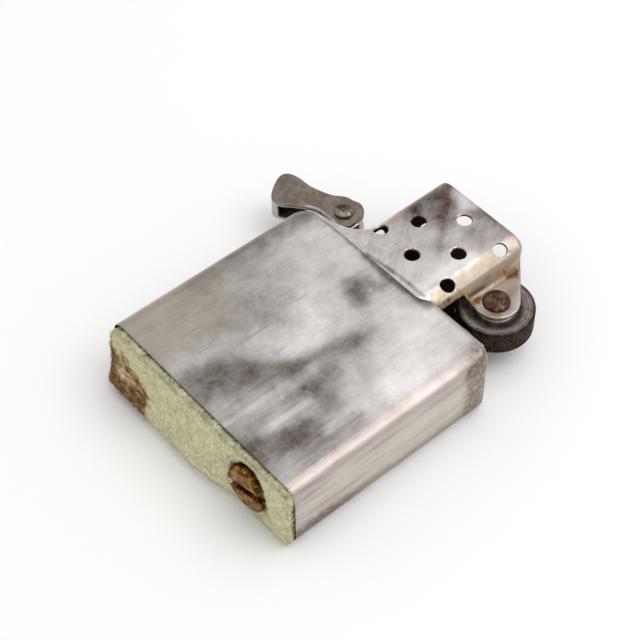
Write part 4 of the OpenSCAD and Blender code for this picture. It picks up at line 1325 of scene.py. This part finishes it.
def build_fibres(name, count, seed):
    rng = np.random.default_rng(seed)
    x = rng.uniform(-FELT_W, FELT_W, count * 3)
    z = mid_z + rng.uniform(-FELT_H, FELT_H, count * 3)
    depth = felt_depth(x, z)
    keep = (depth > 0.1) & (np.hypot(x - screw_x, z - mid_z) > 3.6)
    keep &= rng.uniform(size=len(x)) < 0.3 + 0.7 * np.exp(-depth / 0.9)
    x, z = x[keep][:count], z[keep][:count]
    root = felt_surface(x, z)
    normal = normals_of(felt_surface, x, z)
    tangent = unit(np.cross(normal, rng.normal(size=(len(x), 3))))
    way = unit(tangent + normal * rng.uniform(0.1, 0.6, (len(x), 1)))
    bend = np.cross(way, normal) * rng.normal(0, 0.5, (len(x), 1)) - normal * 0.3
    length = (rng.uniform(0.35, 1.2, len(x)) * np.where(z > thick - 1.6, 0.5, 1))[:, None, None]
    t = np.linspace(0, 1, 4)[None, :, None]
    line = root[:, None] - 0.05 * normal[:, None]
    line = line + length * (way[:, None] * t + 0.6 * bend[:, None] * t**2)
    # No fibre reaches through the floor
    line[..., 2] = np.maximum(line[..., 2], 0.05)
    radius = FIBRE_R * (1 - 0.8 * t)
    up, out = normal[:, None], unit(np.cross(way, normal))[:, None]
    turns = np.radians([0, 120, 240])
    grid = np.stack([line + radius * (up * math.cos(a) + out * math.sin(a)) for a in turns], 2)
    start = (np.arange(len(x)) * 12)[:, None, None]
    quads = np.array(grid_faces(4, 3, wrap_cols=True)) + start
    caps = np.array([[2, 1, 0], [9, 10, 11]]) + start
    faces = quads.reshape(-1, 4).tolist() + caps.reshape(-1, 3).tolist()
    return paint_felt(make_object(name, grid, faces), np.repeat(root, 12, 0))


def finish_felt(piece):
    """Gives the pad or its fibres the felt's finish and bakes its place into its points."""
    piece.data.materials.append(FELT)
    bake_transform(piece)
    print(piece.name, len(piece.data.vertices), "points")
    return piece


felt_pad = finish_felt(build_felt())
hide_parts("felt_base", "felt_flap")
finish_felt(build_fibres("felt_fibres", FIBRES, 45))

# %% [markdown]
# ## The flint screw
# The screw shuts the flint tube and presses the spring. Its thin head has a notched rim for
# the fingers and a slot for a coin. Head, neck and thread are one turned surface whose radius
# depends on the angle: r - notch in the head, and r + thread wave along the shank.

# %% Build the flint screw
HEAD_R = (screw_high[0] - screw_low[0]) / 2
HEAD_H = 1.25
SLOT_DEEP = 0.7
SLOT_HALF = 0.6
SLOT_TURN = 20
SHANK_R = 1.55
THREAD_PITCH = 0.7
THREAD_DEEP = 0.22
NOTCHES = 40
face_y = screw_low[1]
# The section from the slot's edge to the rim: (share of the way, inset, depth below the face)
MOON_SECTION = (
    (0, 0, None), (0, 0, 0.12), (0, 0.1, 0.02), (0.3, 0, 0), (0.6, 0, 0),
    (0.85, 0, 0.02), (1, -0.22, 0.06), (1, -0.06, 0.16), (1, 0, 0.34), (1, 0, None),
)


def notched(r, turn):
    """The head's radius with its row of notches."""
    return r - 0.16 * (1 - saw(turn / (2 * np.pi) * NOTCHES, 0.35)) * (r > HEAD_R - 0.45)


def screw_body():
    """Head below the slot, and the shank with its thread."""
    steps = NOTCHES * 8
    turn = full_turn(steps)[:, None]
    base_y, back_y, end_y = face_y + SLOT_DEEP, face_y + HEAD_H, screw_high[1]
    head = [(0, base_y), (HEAD_R * 0.5, base_y), (HEAD_R - 0.5, base_y), (HEAD_R, base_y),
            (HEAD_R, back_y - 0.15), (HEAD_R - 0.12, back_y), (SHANK_R + 0.2, back_y)]
    shank = [(SHANK_R, y) for y in np.arange(back_y + 0.1, end_y - 0.35, THREAD_PITCH / 6)]
    tip = [(SHANK_R - 0.1, end_y - 0.2), (SHANK_R - 0.3, end_y), (0, end_y)]
    r, y = np.array(head + shank + tip).T
    on_shank = (y > back_y + 0.3) & (y < end_y - 0.4)
    wave = np.abs(((y / THREAD_PITCH + turn / (2 * np.pi)) % 1) - 0.5) * 2
    radius = notched(r, turn) - THREAD_DEEP * wave * on_shank
    return face_out(turned("body", radius, y, steps, (screw_x, 0, mid_z), axes=(0, 2, 1)))


def half_moon(side):
    """One half of the head's face beside the slot: for every place on the rim's arc, a
    closed section from the slot's edge to the rim."""
    first = math.asin(SLOT_HALF / HEAD_R) + 0.01
    turn = np.linspace(first, math.pi - first, 150)
    worn = 0.05 * smooth_noise(np.stack([turn * 3, turn * 0], 1), 2.5, 51 + side)
    rim = notched(np.full(len(turn), HEAD_R), turn + (side < 0) * math.pi)
    high = rim * np.sin(turn)
    edge = np.minimum(SLOT_HALF, high)
    rows = []
    for share, inset, drop in MOON_SECTION:
        reach = edge + share * (high - edge)
        v = np.maximum(reach + inset * (high - edge) / HEAD_R * 1.4, edge)
        u = rim * np.cos(turn) * (1 + inset / HEAD_R if share == 1 else 1)
        y = face_y + (SLOT_DEEP + 0.02 + 0 * turn if drop is None else worn + drop)
        rows.append(np.stack([u * side, y, v * side], -1))
    u, y, v = np.moveaxis(np.stack(rows, 1), -1, 0)
    c, s = math.cos(math.radians(SLOT_TURN)), math.sin(math.radians(SLOT_TURN))
    points = np.stack([screw_x + u * c - v * s, y, mid_z + u * s + v * c], -1)
    faces = grid_faces(len(turn), len(rows), wrap_cols=True)
    return face_out(make_object("moon", points, faces))


screw = join("flint_screw_head", screw_body(), half_moon(1), half_moon(-1))
dress(screw, SCREW_BRASS, "screw", "flint_screw")
sharp(screw, 40)

# %% [markdown]
# ## The wick
# The wick is a soft cotton rope of three twisted strands. It stands in the chimney, passes the
# deck and runs to and fro through the packing. Its middle line is bent in one plane, so every
# strand is that line plus a turning offset: offset * (normal * cos(turn) + z * sin(turn)).

# %% Build the wick
wick_low, wick_high = node_box("wick")
WICK_R = (wick_high[2] - wick_low[2]) / 2
WICK_PITCH = 6.0
STRAND_SIDES = 14
STRAND_TWIST = 5.5
STRAND_OFF = 0.68
STRAND_R = 0.76
WICK_RUNS = [deck_y - 6.3 - i * WICK_PITCH for i in range(4)]


def wick_line(step=0.3):
    """The wick's middle line at even steps: the rise, and four runs joined by half circles."""
    r = WICK_PITCH / 2
    left, right = wick_low[0] + WICK_R + r, wick_high[0] - WICK_R - r
    y = WICK_RUNS
    parts = [[(SCREEN_MID, wick_high[1] - 0.1)], arc(SCREEN_MID - r, y[0] + r, r, 0, -90),
             arc(left, y[1] + r, r, 90, 270), arc(right, y[2] + r, r, 90, -90),
             arc(left, y[3] + r, r, 90, 270), [(wick_high[0] - 0.1, y[3])]]
    line = np.concatenate([np.asarray(p, float) for p in parts])
    run = np.concatenate([[0], np.cumsum(np.linalg.norm(np.diff(line, axis=0), axis=1))])
    at = np.arange(0, run[-1], step)
    return np.stack([np.interp(at, run, line[:, 0]), np.interp(at, run, line[:, 1])], 1), at


def build_wick():
    line, at = wick_line()
    way = unit(np.gradient(line, axis=0))
    side = np.stack([-way[:, 1], way[:, 0], 0 * at], 1)
    up = np.array([0.0, 0.0, 1.0])
    middle = np.column_stack([line, np.full(len(at), mid_z)])
    a = full_turn(STRAND_SIDES)[None, :, None]
    strands = []
    for k in range(3):
        turn = (at / STRAND_TWIST * 2 * np.pi + k * 2 * np.pi / 3)[:, None]
        out = side * np.cos(turn) + up * np.sin(turn)
        across = up * np.cos(turn) - side * np.sin(turn)
        wave = 1 + 0.05 * smooth_noise(np.stack([at, at * 0 + k], 1), 1.5, 60 + k)[:, None, None]
        tube = (middle + STRAND_OFF * out)[:, None]
        tube = tube + STRAND_R * wave * (out[:, None] * np.cos(a) + across[:, None] * np.sin(a))
        strands.append(face_out(make_object("strand", tube, tube_faces(len(at), STRAND_SIDES))))
    return join("wick_rope", *strands)


dress(build_wick(), WICK_COTTON, "tank", "wick")

# %% [markdown]
# ## The packing
# Wads of rayon hold the petrol between the wick's runs. They are pressed in by hand, so each
# wad is the space that CAD left for it, remeshed and then drawn in by soft lumps:
# point - normal * (gap + lump * noise).


# %% Build the packing
VOXEL = 0.4


def solid_copy(name, node):
    """A copy of a CAD solid, for a modifier to change."""
    return face_out(add_to_scene(name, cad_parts[node].data.copy()))


def remeshed(name, node):
    """A copy of a CAD solid with even faces."""
    obj = solid_copy(name, node)
    remesh = obj.modifiers.new("even", "REMESH")
    remesh.mode = "VOXEL"
    remesh.voxel_size = VOXEL * MM
    mesh = obj.evaluated_get(bpy.context.evaluated_depsgraph_get()).data
    points = read(mesh.vertices, "co", 3) / MM
    faces = [list(p.vertices) for p in mesh.polygons]
    bpy.data.objects.remove(obj)
    return make_object(name, points, faces)


def build_wad(name, node, seed):
    wad = remeshed(name, node)
    points = points_of(wad)
    lump = 0.5 + 0.5 * smooth_noise(points, 3.2, seed)
    fluff = smooth_noise(points, 0.9, seed + 1)
    gap = np.clip(0.1 + 0.75 * lump**2 + 0.08 * fluff, 0, 1.2)
    return move_points(wad, points - read(wad.data.vertices, "normal", 3) * gap[:, None])


for k, part in enumerate(("top", "middle", "lower", "bottom", "side")):
    wad = dress(build_wad(f"wad_{part}", f"packing_{part}", 200 + 10 * k), RAYON, "tank",
                f"packing_{part}")

# %% [markdown]
# ## Punched and turned parts
# The cam, its bracket and the flint tube already have their shape in CAD. Each one becomes a
# piece with a small bevel, because a punched or turned edge always catches a line of light.
# The flint, its spring and the spring's tip are small and hidden, and keep their CAD meshes.


# %% Round the CAD edges
def rounded(name, node, width):
    """A copy of a CAD solid whose sharp edges are bevelled by a width in millimetres."""
    obj = sharp(solid_copy(name, node), 35)
    bevel = obj.modifiers.new("edge", "BEVEL")
    bevel.width = width * MM
    bevel.segments = 2
    bevel.limit_method = "ANGLE"
    bevel.angle_limit = math.radians(35)
    return obj


for name, node, width, material, body, slot in (
        ("cam_plate", "cam", 0.12, CAM_STEEL, "cam_body", "cam_steel"),
        ("cam_bracket_bent", "cam_bracket", 0.08, DECK_STEEL, "tank", "deck_steel"),
        ("flint_tube_drawn", "flint_tube", 0.08, TUBE_BRASS, "tank", "tube_brass")):
    dress(rounded(name, node, width), material, body, node)

# %% Dress the CAD nodes that stay
for node, material in (("flint", FLINT_METAL), ("spring_tip", TUBE_BRASS),
                       ("flint_spring", SPRING_STEEL)):
    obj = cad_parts[node]
    obj.data.materials.clear()
    obj.data.materials.append(material)
    print(node, "keeps its mesh, in", material.name)

# %% [markdown]
# ## Floor and light
# The photograph was taken in a light tent: a white floor without an edge, and soft light from
# everywhere, strongest from behind on the right. Where the camera sees past the floor, the
# background is pure white.


# %% Floor, world and lamps
TENT_STRENGTH = 0.72
LAMP_AWAY = 600
FLOOR_HALF = 900
FLOOR_UNDER = 0.02


def build_floor():
    corners = [(x * FLOOR_HALF, y * FLOOR_HALF, 0) for x, y in ((-1, -1), (1, -1), (1, 1), (-1, 1))]
    floor = make_object("floor", corners, [[0, 1, 2, 3]], smooth=False)
    f = Finish("white_floor")
    f.feed(f.shader.inputs, {"Base Color": (0.97, 0.97, 0.97), "Roughness": 0.9,
                             "Specular IOR Level": 0.0})
    floor.data.materials.append(f.material)
    floor.location = (0, 0, -FLOOR_UNDER * MM)


def build_world():
    """The tent's light, and pure white where the camera sees the background itself."""
    world = bpy.data.worlds.new("light_tent")
    bpy.context.scene.world = world
    world.use_nodes = True
    g = Graph(world.node_tree)
    lamp = g.tree.nodes["Background"]
    g.feed(lamp.inputs, {"Color": (1, 1, 1), "Strength": TENT_STRENGTH})
    white = g.node("Background", {"Color": (1, 1, 1), "Strength": 1.0})
    seen = g.node("LightPath", {}, "Is Camera Ray")
    mix = g.node("MixShader", {0: seen, 1: lamp.outputs[0], 2: white})
    g.feed(g.tree.nodes["World Output"].inputs, {"Surface": mix})


def add_softbox(name, azimuth, elevation, size, power):
    """A square lamp that looks at the object from a direction, in degrees and millimetres."""
    data = bpy.data.lights.new(name, "AREA")
    data.shape = "SQUARE"
    data.size = size * MM
    data.energy = power
    look_from(add_to_scene(name, data), azimuth, elevation, (0, 0, LAMP_AWAY))


build_floor()
build_world()
add_softbox("tent_light", 158, 68, 580, 1.1)
add_softbox("tent_window", 122, 56, 380, 0.5)
bpy.context.scene.view_settings.view_transform = "Standard"
